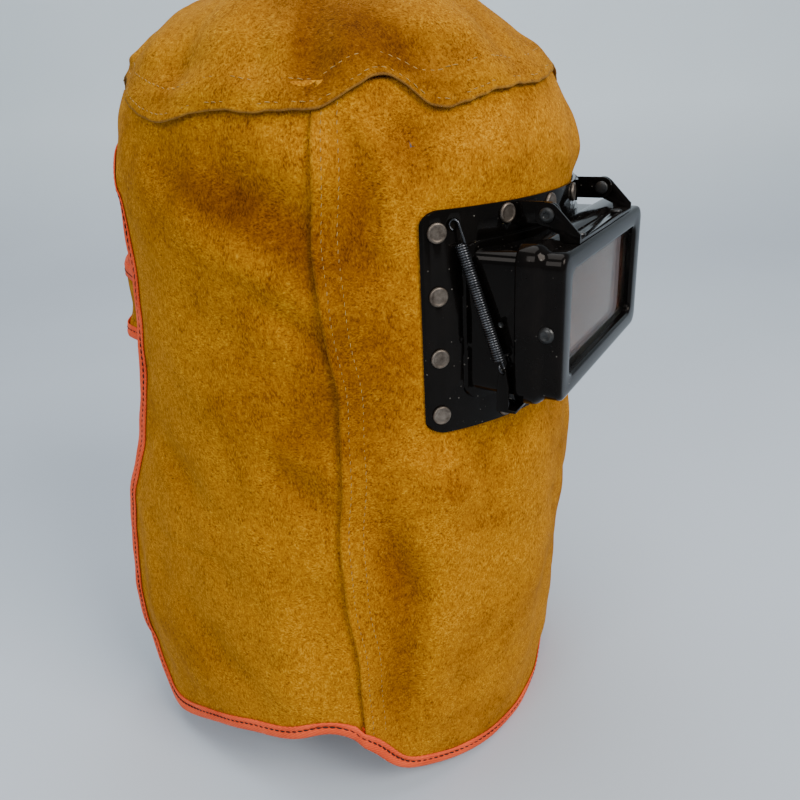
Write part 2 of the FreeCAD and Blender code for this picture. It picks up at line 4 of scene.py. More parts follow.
import bmesh
import bpy
import numpy as np
from mathutils import Matrix, Vector

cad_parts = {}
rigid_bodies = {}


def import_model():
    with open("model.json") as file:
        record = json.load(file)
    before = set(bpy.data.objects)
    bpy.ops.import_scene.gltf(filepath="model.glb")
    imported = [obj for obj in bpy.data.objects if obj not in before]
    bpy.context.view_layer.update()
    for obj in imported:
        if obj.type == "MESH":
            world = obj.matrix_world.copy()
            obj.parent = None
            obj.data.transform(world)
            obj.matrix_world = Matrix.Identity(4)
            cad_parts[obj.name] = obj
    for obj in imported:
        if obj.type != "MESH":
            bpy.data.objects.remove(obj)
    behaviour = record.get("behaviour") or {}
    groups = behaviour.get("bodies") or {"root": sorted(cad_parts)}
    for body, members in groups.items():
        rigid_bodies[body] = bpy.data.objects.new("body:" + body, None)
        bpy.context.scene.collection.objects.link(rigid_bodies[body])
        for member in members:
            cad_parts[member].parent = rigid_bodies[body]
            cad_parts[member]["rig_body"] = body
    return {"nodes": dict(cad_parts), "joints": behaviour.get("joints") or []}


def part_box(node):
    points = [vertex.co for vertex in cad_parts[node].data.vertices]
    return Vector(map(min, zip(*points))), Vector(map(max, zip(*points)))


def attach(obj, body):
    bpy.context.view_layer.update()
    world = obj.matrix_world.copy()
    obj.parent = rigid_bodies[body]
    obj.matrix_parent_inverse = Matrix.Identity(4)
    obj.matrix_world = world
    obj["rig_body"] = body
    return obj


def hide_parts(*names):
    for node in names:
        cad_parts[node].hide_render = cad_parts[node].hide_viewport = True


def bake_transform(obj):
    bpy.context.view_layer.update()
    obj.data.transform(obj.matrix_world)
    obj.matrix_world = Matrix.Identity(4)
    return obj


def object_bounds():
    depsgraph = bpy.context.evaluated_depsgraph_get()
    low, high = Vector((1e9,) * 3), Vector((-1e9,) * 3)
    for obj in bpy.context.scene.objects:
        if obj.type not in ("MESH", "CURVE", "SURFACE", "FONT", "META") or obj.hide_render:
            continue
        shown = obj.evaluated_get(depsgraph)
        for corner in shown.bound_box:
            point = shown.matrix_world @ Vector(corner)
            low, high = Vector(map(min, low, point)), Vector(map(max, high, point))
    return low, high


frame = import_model()
cad_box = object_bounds()

# Everything is in the frame's metres; tables are in millimetres. Angles round the hood
# are in degrees: 0 at the front, positive towards the wearer's left (+X), 180 behind.
MM = 0.001
ARC_MM = 1.83  # millimetres round the hood for each degree
GAUGE = 2.0 * MM  # leather
PANEL_TOP = -43 * MM
OPENING_HALF, OPENING_TOP, ARCH = 78 * MM, -58 * MM, 40 * MM  # back opening
RIM_POINTS = 1400
STRAP_SEWN_AT, STRAP_TIP_AT = -131, -238  # angles of the strap's ends
DOME_WAY = -0.05  # height whose outward direction the whole crown shares
WINDOW_Z = (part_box("flip_front")[0].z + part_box("flip_front")[1].z) / 2

# Height, half width, depth in front of the axis and depth behind it.
HOOD = np.array([
    (-400.0, 117.0, 87.5, 145.0), (-376.0, 117.0, 90.8, 150.0), (-336.0, 116.6, 95.7, 157.5),
    (-296.0, 115.2, 100.2, 159.5), (-256.0, 112.0, 103.9, 155.0), (-200.0, 106.5, 104.6, 134.0),
    (-182.0, 105.0, 102.6, 127.0), (-136.0, 104.3, 102.4, 119.0), (-90.0, 103.0, 102.6, 119.5),
    (-76.0, 101.0, 104.4, 122.0), (-56.0, 97.0, 98.0, 119.5), (-30.0, 87.0, 84.0, 106.0),
]) * MM
# The same for the dome, by distance up its side from the raw edge.
DOME = np.array([
    (0.0, -47.0, 95.0, 95.0, 117.0), (9.0, -39.0, 92.0, 89.5, 112.0), (26.0, -26.0, 82.5, 76.0, 103.0),
    (48.0, -13.5, 65.5, 59.0, 85.0), (75.0, -3.5, 42.5, 39.5, 56.0), (100.0, 1.0, 18.5, 17.5, 26.0),
    (118.0, 2.4, 0.0, 0.0, 0.0),
]) * MM
# Hem seen from the side: depth from the face to the back, height.
HEM = np.array([
    (-130.0, -392.0), (-100.0, -388.0), (-84.0, -376.0), (-70.0, -368.0), (-59.0, -361.0),
    (-49.0, -344.0), (-39.0, -334.0), (-15.0, -339.0), (13.0, -345.0), (42.0, -355.0),
    (70.0, -365.0), (98.0, -364.0), (118.0, -344.0), (136.0, -312.0), (190.0, -240.0),
]) * MM
# Crown's raw edge round the hood: angle, height, how far it curls away.
CROWN_EDGE = np.array([
    (-180.0, -49.0, 0.5), (-160.0, -46.0, 0.5), (-146.0, -40.0, 0.6), (-136.0, -37.5, 0.8),
    (-126.0, -40.0, 1.0), (-119.0, -47.5, 3.0), (-111.0, -53.0, 2.6), (-102.0, -55.5, 1.6),
    (-95.0, -52.5, 0.6), (-81.0, -52.0, 0.5), (-72.0, -53.0, 0.5), (-64.0, -51.0, 1.0),
    (-56.0, -46.0, 1.4), (-50.0, -41.5, 1.2), (-46.5, -45.0, 0.5), (-42.5, -51.5, 0.1),
    (-31.0, -52.5, 0.4), (-22.0, -49.0, 0.8), (-10.0, -47.5, 1.0), (6.0, -44.5, 1.0),
    (17.0, -41.0, 1.2), (28.0, -46.0, 1.0), (45.0, -52.0, 1.0), (70.0, -50.0, 1.5),
    (96.0, -54.0, 1.0), (118.0, -51.0, 2.4), (134.0, -42.0, 2.0), (150.0, -47.0, 1.0),
    (180.0, -49.0, 0.5),
])
# Folds of the leather: start and end as angle and height, width, height of the fold.
FOLDS = [
    (-112, -62, -80, -82, 15, -3.4), (-84, -82, -63, -96, 11, -3.0), (-92, -104, -76, -116, 12, 2.6),
    (-86, -116, -66, -143, 7, -2.0), (-118, -150, -88, -172, 20, 2.4), (-120, -200, -103, -226, 11, -3.8),
    (-88, -186, -66, -220, 11, -3.2), (-100, -178, -72, -200, 13, 1.8), (-119, -256, -98, -252, 2.0, -0.8),
    (-106, -288, -94, -322, 11, -2.8), (-88, -250, -76, -320, 20, 2.4), (-128, -250, -122, -330, 10, 2.0),
    (-61, -58, -55, -104, 7, -2.0), (-49, -50, -45, -76, 7, -2.2), (-56, -60, -50, -96, 5, 1.4),
    (-60, -104, -50, -112, 7, -1.5), (-59, -212, -49, -262, 10, -4.2), (-49, -262, -51, -340, 9, -3.4),
    (-41, -200, -41, -350, 11, 3.2), (-55, -190, -40, -205, 9, 1.6), (-30, -196, -27, -240, 10, -1.6),
    (-14, -210, -12, -350, 14, 1.4), (4, -200, 2, -330, 12, -1.6), (22, -195, 26, -260, 11, 1.8),
    (30, -56, 44, -84, 9, -2.0), (-20, -60, -28, -84, 10, 1.2), (10, -58, 8, -84, 9, -1.2),
    (46, -205, 54, -270, 11, -3.6), (54, -270, 50, -345, 10, -2.8), (40, -230, 39, -350, 12, 2.6),
    (68, -90, 98, -72, 13, -3.0), (74, -130, 104, -108, 10, 2.2), (70, -150, 92, -128, 7, -1.8),
    (78, -215, 104, -184, 11, -3.0), (98, -232, 122, -206, 12, -3.4), (84, -262, 92, -330, 18, 2.4),
    (100, -300, 110, -330, 11, -2.4), (112, -160, 128, -180, 12, 2.0),
]
# Darker patches, partly darker nap and partly painted shade along the folds: angle, height, reach round, reach up,
# depth of tone.
SHADE_AND_NAP_PATCHES = [
    (-106, -72, 8, 9, 0.35), (-98, -77, 8, 9, 0.45), (-90, -83, 8, 9, 0.5), (-82, -90, 8, 9, 0.5),
    (-75, -98, 8, 10, 0.55), (-69, -108, 7, 11, 0.5), (-92, -90, 22, 22, 0.25), (-58, -84, 7, 24, 0.5),
    (-47, -64, 8, 18, 0.5), (-52, -238, 8, 34, 0.45), (-51, -305, 7, 40, 0.3), (-74, -205, 14, 20, 0.3),
    (-114, -216, 9, 18, 0.35), (-104, -306, 12, 24, 0.3), (-56, -118, 10, 24, 0.35),
    (-56, -176, 9, 30, 0.3),
    (-66, -150, 10, 34, 0.3), (-88, -250, 16, 14, 0.2), (-24, -200, 12, 16, 0.2), (52, -240, 9, 34, 0.45),
    (88, -84, 16, 14, 0.45), (92, -200, 16, 20, 0.3), (20, -74, 10, 14, 0.3), (112, -230, 12, 24, 0.3),
    (72, -300, 12, 28, 0.25),
]


# ------------------------------------------------------------------ numbers

def smooth(table, column, at):
    """Cubic curve through a table's rows, whose slope at each row comes from its neighbours."""
    x, y = table[:, 0], table[:, column]
    slope = np.gradient(y, x)
    i = np.clip(np.searchsorted(x, at) - 1, 0, len(x) - 2)
    span = x[i + 1] - x[i]
    t = np.clip((at - x[i]) / span, 0, 1)
    near, far = y[i] * (1 + 2 * t) * (1 - t) ** 2, y[i + 1] * t * t * (3 - 2 * t)
    return near + far + span * (slope[i] * t * (1 - t) ** 2 - slope[i + 1] * t * t * (1 - t))


def step(low, high, x):
    """0 below low, 1 above high and an S between them."""
    t = np.clip((x - low) / (high - low), 0, 1)
    return t * t * (3 - 2 * t)


def waves(points, wavelength, seed, count=14):
    """Smooth noise of about unit size: a sum of plane sine waves in scattered directions."""
    rng = np.random.default_rng(seed)
    ways = rng.normal(size=(count, 3))
    ways *= (2 * pi / (wavelength * rng.uniform(0.7, 1.6, count)) / np.linalg.norm(ways, axis=1))[:, None]
    return np.sin(points @ ways.T + rng.uniform(0, 2 * pi, count)).sum(-1) / np.sqrt(count / 2)


def unit(vectors):
    """The same vectors at length one."""
    return vectors / np.maximum(np.linalg.norm(vectors, axis=-1, keepdims=True), 1e-12)


# ------------------------------------------------------------------ the hood's surface

def hood(angle, z, out=0.0):
    """Points of the plain hood: half an ellipse in front of the axis and half of another behind."""
    turn = np.radians(angle)
    half, front, back = (smooth(HOOD, column, z) + out for column in (1, 2, 3))
    reach = np.where(np.cos(turn) > 0, front, back)
    return np.stack(np.broadcast_arrays(half * np.sin(turn), -reach * np.cos(turn), z), -1)


def outward(angle, z):
    """Level direction square to the hood's ellipse at an angle and height."""
    turn = np.radians(angle)
    half, front, back = (smooth(HOOD, column, z) for column in (1, 2, 3))
    reach = np.where(np.cos(turn) > 0, front, back)
    way = np.stack(np.broadcast_arrays(np.sin(turn) / half, -np.cos(turn) / reach, 0 * z), -1)
    return unit(way)


def holder_room(angle, z):
    """1 on the leather that the base plate presses flat, fading to 0 round it."""
    x = np.abs(hood(angle, z)[..., 0])
    across = 1 - step(73 * MM, 88 * MM, x)
    up = 1 - step(45 * MM, 58 * MM, np.abs(z - WINDOW_Z))
    return across * up * (np.abs(angle) < 90)


def folds(angle, z):
    """How far the leather stands proud: a Gaussian ridge or valley along each fold's line."""
    rise = np.zeros(np.broadcast(angle, z).shape)
    round_mm, up_mm = angle * ARC_MM, z / MM
    for a0, z0, a1, z1, width, height in FOLDS:
        start, run = np.array([a0 * ARC_MM, z0]), np.array([(a1 - a0) * ARC_MM, z1 - z0])
        along = ((round_mm - start[0]) * run[0] + (up_mm - start[1]) * run[1]) / (run @ run)
        held = np.clip(along, 0, 1)
        gap = np.hypot(round_mm - start[0] - held * run[0], up_mm - start[1] - held * run[1])
        rise += height * np.exp(-(gap / width) ** 2) * (0.55 + 0.45 * np.sin(pi * held))
    spots = hood(angle, z)
    rise = rise * MM + 0.9 * MM * waves(spots, 0.085, 3) + 0.35 * MM * waves(spots, 0.028, 5)
    held_down = holder_room(angle, z)
    rise = rise * (0.35 + 0.65 * step(4 * MM, 30 * MM, z - hem_height(angle)))
    to_edge = np.clip(angle_at(OPENING_HALF, z) - np.abs(angle), -2, 60) * 2.2 * MM
    behind = step(95, 118, np.abs(angle))
    to_edge = np.minimum(to_edge, z - hem_height(angle) + 0.035 * (1 - behind))
    flare = (2.6 * MM + 4.0 * MM * np.exp(-((z + 0.325) / 0.035) ** 2)) * step(-0.062, -0.085, z)
    reach = (6.5 + 3 * step(-0.26, -0.31, z)) * MM
    rise = rise * (1 - 0.8 * step(-0.064, -0.052, z))
    return (rise * (1 - held_down) - 0.1 * MM * held_down
            + flare * np.exp(-np.maximum(to_edge, 0) / reach))


def angle_at(across, z):
    """Angle behind the axis where the hood is a given distance from its middle: the arcsine
    of the distance over the half width."""
    return 180 - np.degrees(np.arcsin(np.clip(across / smooth(HOOD, 1, z), 0, 1)))


def leather(angle, z, lift=0.0):
    """Points of the folded leather, raised by lift along the hood's normal."""
    rise = folds(angle, z) + lift
    return hood(angle, z) + outward(angle, z) * rise[..., None]


def tone_and_shade(angle, z):
    """Darker nap and painted shade, from 0 to 1: soft patches, and painted shade in the valleys of the folds."""
    dark = np.zeros(np.broadcast(angle, z).shape)
    for a, up, wide, tall, depth in SHADE_AND_NAP_PATCHES:
        dark += 1.15 * depth * np.exp(-((angle - a) / wide) ** 2 - ((z / MM - up) / tall) ** 2)
    back = step(60, 118, np.abs(angle))
    # Painted shade: darker in the valleys of the folds.
    return np.clip(dark - 110 * np.clip(folds(angle, z), -4 * MM, 4 * MM) * (1 - back), -0.4, 1.0)


# ------------------------------------------------------------------ outlines on the hood

def hem_height(angle):
    """Height of the hem at an angle, found by following the hem's side view onto the surface."""
    z = np.full(np.shape(angle), -0.35)
    for _ in range(25):
        z = 0.5 * z + 0.5 * smooth(HEM, 1, hood(angle, z)[..., 1])
    return z


def seam_angle(z):
    """Angle of the front seam, which runs straight down and drifts forward near the hem."""
    depth = (38.5 * MM + 4.5 * MM * step(-0.10, -0.165, z) + 5 * MM * step(-0.24, -0.32, z)
             + 0.6 * MM * np.sin(z * 60) + 0.4 * MM * np.sin(z * 147))
    return np.degrees(np.arccos(depth / smooth(HOOD, 2, z)))


def even(line, count):
    """The same line with its points evenly spaced along it."""
    gaps = np.hypot(np.diff(line[:, 0]) * ARC_MM * MM, np.diff(line[:, 1]))
    run = np.concatenate([[0], np.cumsum(gaps)])
    at = np.linspace(0, run[-1], count)
    return np.stack([np.interp(at, run, line[:, 0]), np.interp(at, run, line[:, 1])], -1)


def rim_line():
    """Free edge of the left half, as angle and height: hem from the front centre, round the
    lower corner, up the back opening and over its arch to the back centre."""
    angle = np.linspace(0, 160, 900)
    z = hem_height(angle)
    on_hem = (angle < 90) | (hood(angle, z)[:, 0] > OPENING_HALF)
    hem = np.stack([angle, z], -1)[on_hem]
    up = np.linspace(hem[-1, 1], OPENING_TOP - ARCH, 500)[1:]
    edge = np.stack([angle_at(OPENING_HALF, up), up], -1)
    turn = np.linspace(0, pi / 2, 120)[1:]
    z_arch = OPENING_TOP - ARCH + ARCH * np.sin(turn)
    over = np.stack([angle_at(OPENING_HALF * np.cos(turn), z_arch), z_arch], -1)
    line = even(np.concatenate([hem, edge, over]), RIM_POINTS)
    kernel = np.exp(-np.linspace(-2, 2, 61) ** 2)
    padded = np.pad(line, ((30, 30), (0, 0)), mode="reflect", reflect_type="odd")
    line = np.stack([np.convolve(padded[:, k], kernel / kernel.sum(), "valid") for k in (0, 1)], -1)
    return even(line, RIM_POINTS)


RIM = rim_line()
SEAM_AT = int(np.argmin(np.abs(RIM[:, 0] - seam_angle(RIM[:, 1])) + 9 * (RIM[:, 1] > -0.3)))
CORNER_AT = int(np.argmax(hood(RIM[:, 0], RIM[:, 1]) @ np.array([0, 1, -1.6]) - 9 * (RIM[:, 1] > -0.3)))


def patch(bottom, top, left, right, across, up):
    """Grid between four edge lines (a Coons patch), as angle and height."""
    bottom, top = even(bottom, across), even(top, across)
    left, right = even(left, up), even(right, up)
    u, v = np.linspace(0, 1, across)[None, :, None], np.linspace(0, 1, up)[:, None, None]
    ruled = (1 - v) * bottom[None] + v * top[None] + (1 - u) * left[:, None] + u * right[:, None]
    corners = ((1 - u) * (1 - v) * bottom[0] + u * (1 - v) * bottom[-1]
               + (1 - u) * v * top[0] + u * v * top[-1])
    return ruled - corners


# ------------------------------------------------------------------ meshes

def mesh_object(name, points, faces, material, smooth_faces=True):
    """An object at the origin from points, faces and one material."""
    mesh = bpy.data.meshes.new(name)
    mesh.from_pydata(np.asarray(points).reshape(-1, 3).tolist(), [], faces)
    mesh.update()
    mesh.polygons.foreach_set("use_smooth", [smooth_faces] * len(mesh.polygons))
    mesh.materials.append(material)
    obj = bpy.data.objects.new(name, mesh)
    bpy.context.scene.collection.objects.link(obj)
    return obj


def paint(obj, name, values):
    """A value at each vertex, which the materials read."""
    layer = obj.data.attributes.new(name, "FLOAT", "POINT")
    layer.data.foreach_set("value", np.asarray(values, np.float32).ravel())


def grid_faces(rows, columns, wrap_rows=False, wrap_columns=False):
    """Four-cornered faces between the neighbours of a grid, joined round where it wraps."""
    index = np.arange(rows * columns).reshape(rows, columns)
    if wrap_rows:
        index = np.vstack([index, index[:1]])
    if wrap_columns:
        index = np.hstack([index, index[:, :1]])
    quads = np.stack([index[:-1, :-1], index[:-1, 1:], index[1:, 1:], index[1:, :-1]], -1)
    return quads.reshape(-1, 4)


def thick_sheet(name, outer, inner, material, keep=None, wrap=False):
    """A sheet of leather: an outer and an inner grid of points, joined round every free edge."""
    rows, columns = outer.shape[:2]
    quads = grid_faces(rows, columns, wrap_columns=wrap)
    if keep is not None:
        quads = quads[keep.ravel()]
    edges = np.stack([quads, np.roll(quads, -1, 1)], -1).reshape(-1, 2)
    key = np.sort(edges, 1) @ np.array([rows * columns, 1])
    unique, first, count = np.unique(key, return_index=True, return_counts=True)
    free = edges[first[count == 1]]
    shift = rows * columns
    walls = np.stack([free[:, 1], free[:, 0], free[:, 0] + shift, free[:, 1] + shift], -1)
    faces = np.vstack([quads, quads[:, ::-1] + shift, walls])
    points = np.concatenate([outer.reshape(-1, 3), inner.reshape(-1, 3)])
    used, renumbered = np.unique(faces, return_inverse=True)
    obj = mesh_object(name, points[used], renumbered.reshape(-1, 4).tolist(), material)
    at_edge = np.zeros(2 * shift)
    at_edge[np.unique(walls)] = 1.0
    paint(obj, "cut_edge", at_edge[used])
    return obj, used


def tube(path, radius, sides=8, closed=False):
    """Points and faces of a round tube along a path, its rings square to the path."""
    ahead = np.roll(path, -1, 0) - np.roll(path, 1, 0) if closed else np.gradient(path, axis=0)
    ahead = unit(ahead)
    normal = np.zeros_like(path)
    guess = np.array([0.3, 0.5, 0.8])
    for i, way in enumerate(ahead):
        guess = guess - way * (guess @ way)
        guess /= np.linalg.norm(guess)
        normal[i] = guess
    side = np.cross(ahead, normal)
    turn = np.linspace(0, 2 * pi, sides, endpoint=False)
    radius = np.broadcast_to(radius, len(path))[:, None, None]
    rings = path[:, None] + radius * (np.cos(turn)[None, :, None] * normal[:, None]
                                      + np.sin(turn)[None, :, None] * side[:, None])
    faces = grid_faces(len(path), sides, wrap_rows=closed, wrap_columns=True)
    return rings.reshape(-1, 3), faces


def stitches(name, path, normal, material, body, length=2.6 * MM, gap=0.7 * MM, radius=0.32 * MM,
             sunk=0.0):
    """A row of stitches: a small flattened lozenge of thread for each, dipping in at its ends.
    Sunk stitches lie at uneven depths, so that the nap hides some of them."""
    run = np.concatenate([[0], np.cumsum(np.linalg.norm(np.diff(path, axis=0), axis=1))])
    count = int(run[-1] / (length + gap))
    pitch = run[-1] / count
    deep = sunk * (0.5 + 0.5 * waves(np.arange(count)[:, None] * np.ones(3), 7.0, 81))
    turn = np.linspace(0, 2 * pi, 6, endpoint=False)
    t = np.linspace(0, 1, 7)
    swell = np.sqrt(np.maximum(np.sin(pi * t), 0.02))
    at = (np.arange(count)[:, None] + (t * length / (length + gap))[None]) * pitch
    centre = np.stack([np.interp(at, run, path[:, k]) for k in range(3)], -1)
    up = unit(np.stack([np.interp(at, run, normal[:, k]) for k in range(3)], -1))
    ahead = unit(np.gradient(centre, axis=1))
    side = np.cross(ahead, up)
    centre = centre + up * (radius * (1.1 * swell - 0.75)[None, :] - deep[:, None])[..., None]
    slant = 0.18 * MM * (2 * t - 1)[None, :, None] * side
    ring = (np.cos(turn)[None, None, :, None] * side[:, :, None]
            + 0.8 * np.sin(turn)[None, None, :, None] * up[:, :, None])
    points = (centre + slant)[:, :, None] + ring * (radius * swell)[None, :, None, None]
    one = grid_faces(len(t), 6, wrap_columns=True)
    faces = (one[None] + (np.arange(count) * len(t) * 6)[:, None, None]).reshape(-1, 4)
    obj = mesh_object(name, points, faces.tolist(), material)
    if body:
        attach(obj, body)
    return obj


def normals_of(points):
    """Normals of a grid of points whose rows go up and whose columns go to the wearer's left."""
    return unit(np.cross(np.gradient(points, axis=1), np.gradient(points, axis=0)))


# ------------------------------------------------------------------ materials

def new_material(name, color=(0.5, 0.5, 0.5), **sockets):
    """A Principled material whose constant values sit on the shader's own sockets."""
    material = bpy.data.materials.new(name)
    material.use_nodes = True
    shader = material.node_tree.nodes["Principled BSDF"]
    shader.inputs["Base Color"].default_value = (*color, 1)
    for socket, value in sockets.items():
        shader.inputs[socket.replace("_", " ")].default_value = value
    return material


def add(tree, kind, inputs=None, **settings):
    """A node with its settings, and its inputs by name: a value, or another node's output."""
    node = tree.nodes.new(kind)
    for name, value in settings.items():
        setattr(node, name, value)
    for name, value in (inputs or {}).items():
        if isinstance(value, bpy.types.NodeSocket):
            tree.links.new(value, node.inputs[name])
        else:
            node.inputs[name].default_value = value
    return node


def noise(tree, where, scale, detail=4.0, roughness=0.55, distortion=0.0):
    node = add(tree, "ShaderNodeTexNoise", {"Vector": where, "Scale": scale, "Detail": detail,
                                            "Roughness": roughness, "Distortion": distortion})
    return node.outputs["Fac"]


def ramp(tree, value, stops):
    """A colour ramp: positions with colours or greys."""
    node = add(tree, "ShaderNodeValToRGB", {"Fac": value})
    elements = node.color_ramp.elements
    while len(elements) < len(stops):
        elements.new(0.5)
    for element, (position, color) in zip(elements, stops):
        element.position = position
        element.color = (*color, 1) if isinstance(color, tuple) else (color, color, color, 1)
    return node.outputs["Color"]


def math_node(tree, operation, first, second=0.0):
    return add(tree, "ShaderNodeMath", {0: first, 1: second}, operation=operation).outputs[0]


def mix(tree, factor, first, second, blend="MIX"):
    node = add(tree, "ShaderNodeMix", data_type="RGBA", blend_type=blend)
    for index, value in ((0, factor), (6, first), (7, second)):
        if isinstance(value, bpy.types.NodeSocket):
            tree.links.new(value, node.inputs[index])
        else:
            node.inputs[index].default_value = value
    return node.outputs[2]


def attribute(tree, name):
    return add(tree, "ShaderNodeAttribute", attribute_name=name).outputs["Fac"]


def object_coordinates(tree):
    return add(tree, "ShaderNodeTexCoord").outputs["Object"]


def new_group(name, outputs):
    """An empty shader group with named outputs, and its output node."""
    group = bpy.data.node_groups.new(name, "ShaderNodeTree")
    for label, kind in outputs:
        group.interface.new_socket(name=label, in_out="OUTPUT", socket_type=kind)
    return group, group.nodes.new("NodeGroupOutput")


# What a surface group puts out.
SURFACE = [("Color", "NodeSocketColor"), ("Height", "NodeSocketFloat"), ("Roughness", "NodeSocketFloat")]


def put_out(group, out, color, height, roughness):
    """Joins a surface group's three results to its outputs."""
    for label, value in zip(("Color", "Height", "Roughness"), (color, height, roughness)):
        group.links.new(value, out.inputs[label])
    return group


def suede_group():
    """Split leather: fine leaning nap, soft clumps, broad mottling and pale raw edges."""
    group, out = new_group("suede nap", SURFACE)
    where = object_coordinates(group)
    leaning = []
    for tilt, stretch in (((0.3, 0.6, 0.2), (1.0, 1.0, 0.55)), ((0.9, -0.4, 0.8), (1.0, 0.6, 1.0))):
        lean = add(group, "ShaderNodeMapping", {"Vector": where, "Rotation": tilt, "Scale": stretch})
        leaning.append(noise(group, lean.outputs[0], 1350.0, 3.0, 0.62, 0.25))
    patches = ramp(group, noise(group, where, 70.0, 3.0), [(0.42, 0.0), (0.58, 1.0)])
    nap = mix(group, patches, leaning[0], leaning[1])
    clumps = noise(group, where, 420.0, 3.0, 0.6)
    fleck = math_node(group, "ADD", math_node(group, "MULTIPLY", nap, 0.70),
                      math_node(group, "MULTIPLY", clumps, 0.30))
    nap_color = ramp(group, fleck, [(0.35, (0.165, 0.050, 0.0009)), (0.45, (0.325, 0.112, 0.0016)),
                                    (0.54, (0.450, 0.178, 0.0030)), (0.67, (0.640, 0.300, 0.0110))])
    broad = noise(group, where, 13.0, 4.0, 0.6)
    medium = noise(group, where, 70.0, 3.0, 0.6)
    cloud = math_node(group, "ADD", math_node(group, "MULTIPLY", broad, 0.65),
                      math_node(group, "MULTIPLY", medium, 0.35))
    mottle = ramp(group, cloud, [(0.36, (0.70, 0.62, 0.60)), (0.50, (1.0, 1.0, 1.0)),
                                 (0.64, (1.12, 1.14, 1.10))])
    color = mix(group, 1.0, nap_color, mottle, "MULTIPLY")
    # Painted shade in the fold valleys, together with darker patches of nap, is multiplied into the colour here.
    color = mix(group, attribute(group, "tone_and_shade"), color,
                mix(group, 1.0, color, (0.48, 0.38, 0.60, 1), "MULTIPLY"))
    yellow = attribute(group, "yellow")
    color = mix(group, yellow, color, mix(group, 1.0, color, (0.80, 0.82, 0.90, 1), "MULTIPLY"))
    cut = math_node(group, "MULTIPLY", attribute(group, "cut_edge"),
                    math_node(group, "MULTIPLY", yellow, 0.5))
    color = mix(group, cut, color, (0.22, 0.13, 0.045, 1))
    # Painted shadow: the leather under the base plate goes near black.
    color = mix(group, attribute(group, "plate_shadow"), color, (0.006, 0.005, 0.004, 1))
    height = math_node(group, "ADD", fleck, math_node(group, "MULTIPLY", medium, 0.25))
    return put_out(group, out, color, height, ramp(group, fleck, [(0.3, 0.98), (0.7, 0.80)]))


def use_group(material, group, bump=0.4, distance=0.4 * MM):
    """Feeds a group's colour, roughness and height to a material's shader."""
    tree = material.node_tree
    shader = tree.nodes["Principled BSDF"]
    node = add(tree, "ShaderNodeGroup", node_tree=group)
    tree.links.new(node.outputs["Color"], shader.inputs["Base Color"])
    tree.links.new(node.outputs["Roughness"], shader.inputs["Roughness"])
    relief = add(tree, "ShaderNodeBump", {"Strength": bump, "Distance": distance,
                                          "Height": node.outputs["Height"]})
    tree.links.new(relief.outputs["Normal"], shader.inputs["Normal"])
    return material


def cloth_group(name, dark, light, scale, slub):
    """Plain-woven tape: fine crossed ribs, with uneven dye and a little soiling."""
    group, out = new_group(name, SURFACE)
    where = object_coordinates(group)
    ribs = []
    for direction in ("Z", "DIAGONAL"):
        wave = add(group, "ShaderNodeTexWave", {"Vector": where, "Scale": scale, "Distortion": 1.2,
                                                "Detail": 2.0, "Detail Scale": 2.0},
                   wave_type="BANDS", bands_direction=direction)
        ribs.append(wave.outputs["Fac"])
    weave = math_node(group, "MULTIPLY", ribs[0], ribs[1])
    grime = noise(group, where, slub, 4.0, 0.6)
    shade = math_node(group, "ADD", math_node(group, "MULTIPLY", weave, 0.35),
                      math_node(group, "MULTIPLY", grime, 0.65))
    color = ramp(group, shade, [(0.22, dark), (0.62, light)])
    return put_out(group, out, color, weave, ramp(group, grime, [(0.3, 0.82), (0.7, 0.62)]))


def paint_group(name, base, worn, chips):
    """Enamel on pressed steel: slight orange peel, dust specks, rubbed patches and rare chips."""
    group, out = new_group(name, SURFACE)
    where = object_coordinates(group)
    peel = noise(group, where, 380.0, 2.0, 0.5)
    rub = noise(group, where, 45.0, 5.0, 0.65, 0.4)
    dust = add(group, "ShaderNodeTexVoronoi", {"Vector": where, "Scale": 330.0, "Randomness": 1.0})
    speck = ramp(group, dust.outputs["Distance"], [(0.07, 1.0), (0.13, 0.0)])
    rare = ramp(group, noise(group, where, 150.0, 2.0), [(0.50, 0.0), (0.62, 1.0)])
    speck = math_node(group, "MULTIPLY", speck, rare)
    film = ramp(group, rub, [(0.45, 0.0), (0.75, 1.0)])
    color = mix(group, math_node(group, "MULTIPLY", film, 0.5), (*base, 1), (*worn, 1))
    color = mix(group, math_node(group, "MULTIPLY", speck, 0.55), color, (0.22, 0.20, 0.17, 1))
    flake = ramp(group, noise(group, where, 210.0, 4.0, 0.75), [(chips, 0.0), (chips + 0.012, 1.0)])
    color = mix(group, flake, color, (0.42, 0.30, 0.10, 1))
    rough = math_node(group, "ADD", math_node(group, "MULTIPLY", rub, 0.20),
                      math_node(group, "MULTIPLY", speck, 0.3))
    return put_out(group, out, color, peel, rough)


def metal_group(name, dark, light, low, high):
    """Plated or bare steel: fine handling scratches, stain and uneven dulling."""
    group, out = new_group(name, SURFACE)
    where = object_coordinates(group)
    stain = noise(group, where, 210.0, 5.0, 0.7)
    drag = add(group, "ShaderNodeMapping", {"Vector": where, "Rotation": (0.4, 0.9, 0.2),
                                            "Scale": (1.0, 14.0, 3.0)})
    scratch = noise(group, drag.outputs[0], 420.0, 3.0, 0.6)
    color = ramp(group, stain, [(0.32, dark), (0.68, light)])
    color = mix(group, ramp(group, scratch, [(0.62, 0.0), (0.72, 0.35)]), color,
                (*[min(1, 1.7 * c) for c in light], 1))
    return put_out(group, out, color, scratch, ramp(group, stain, [(0.3, high), (0.7, low)]))


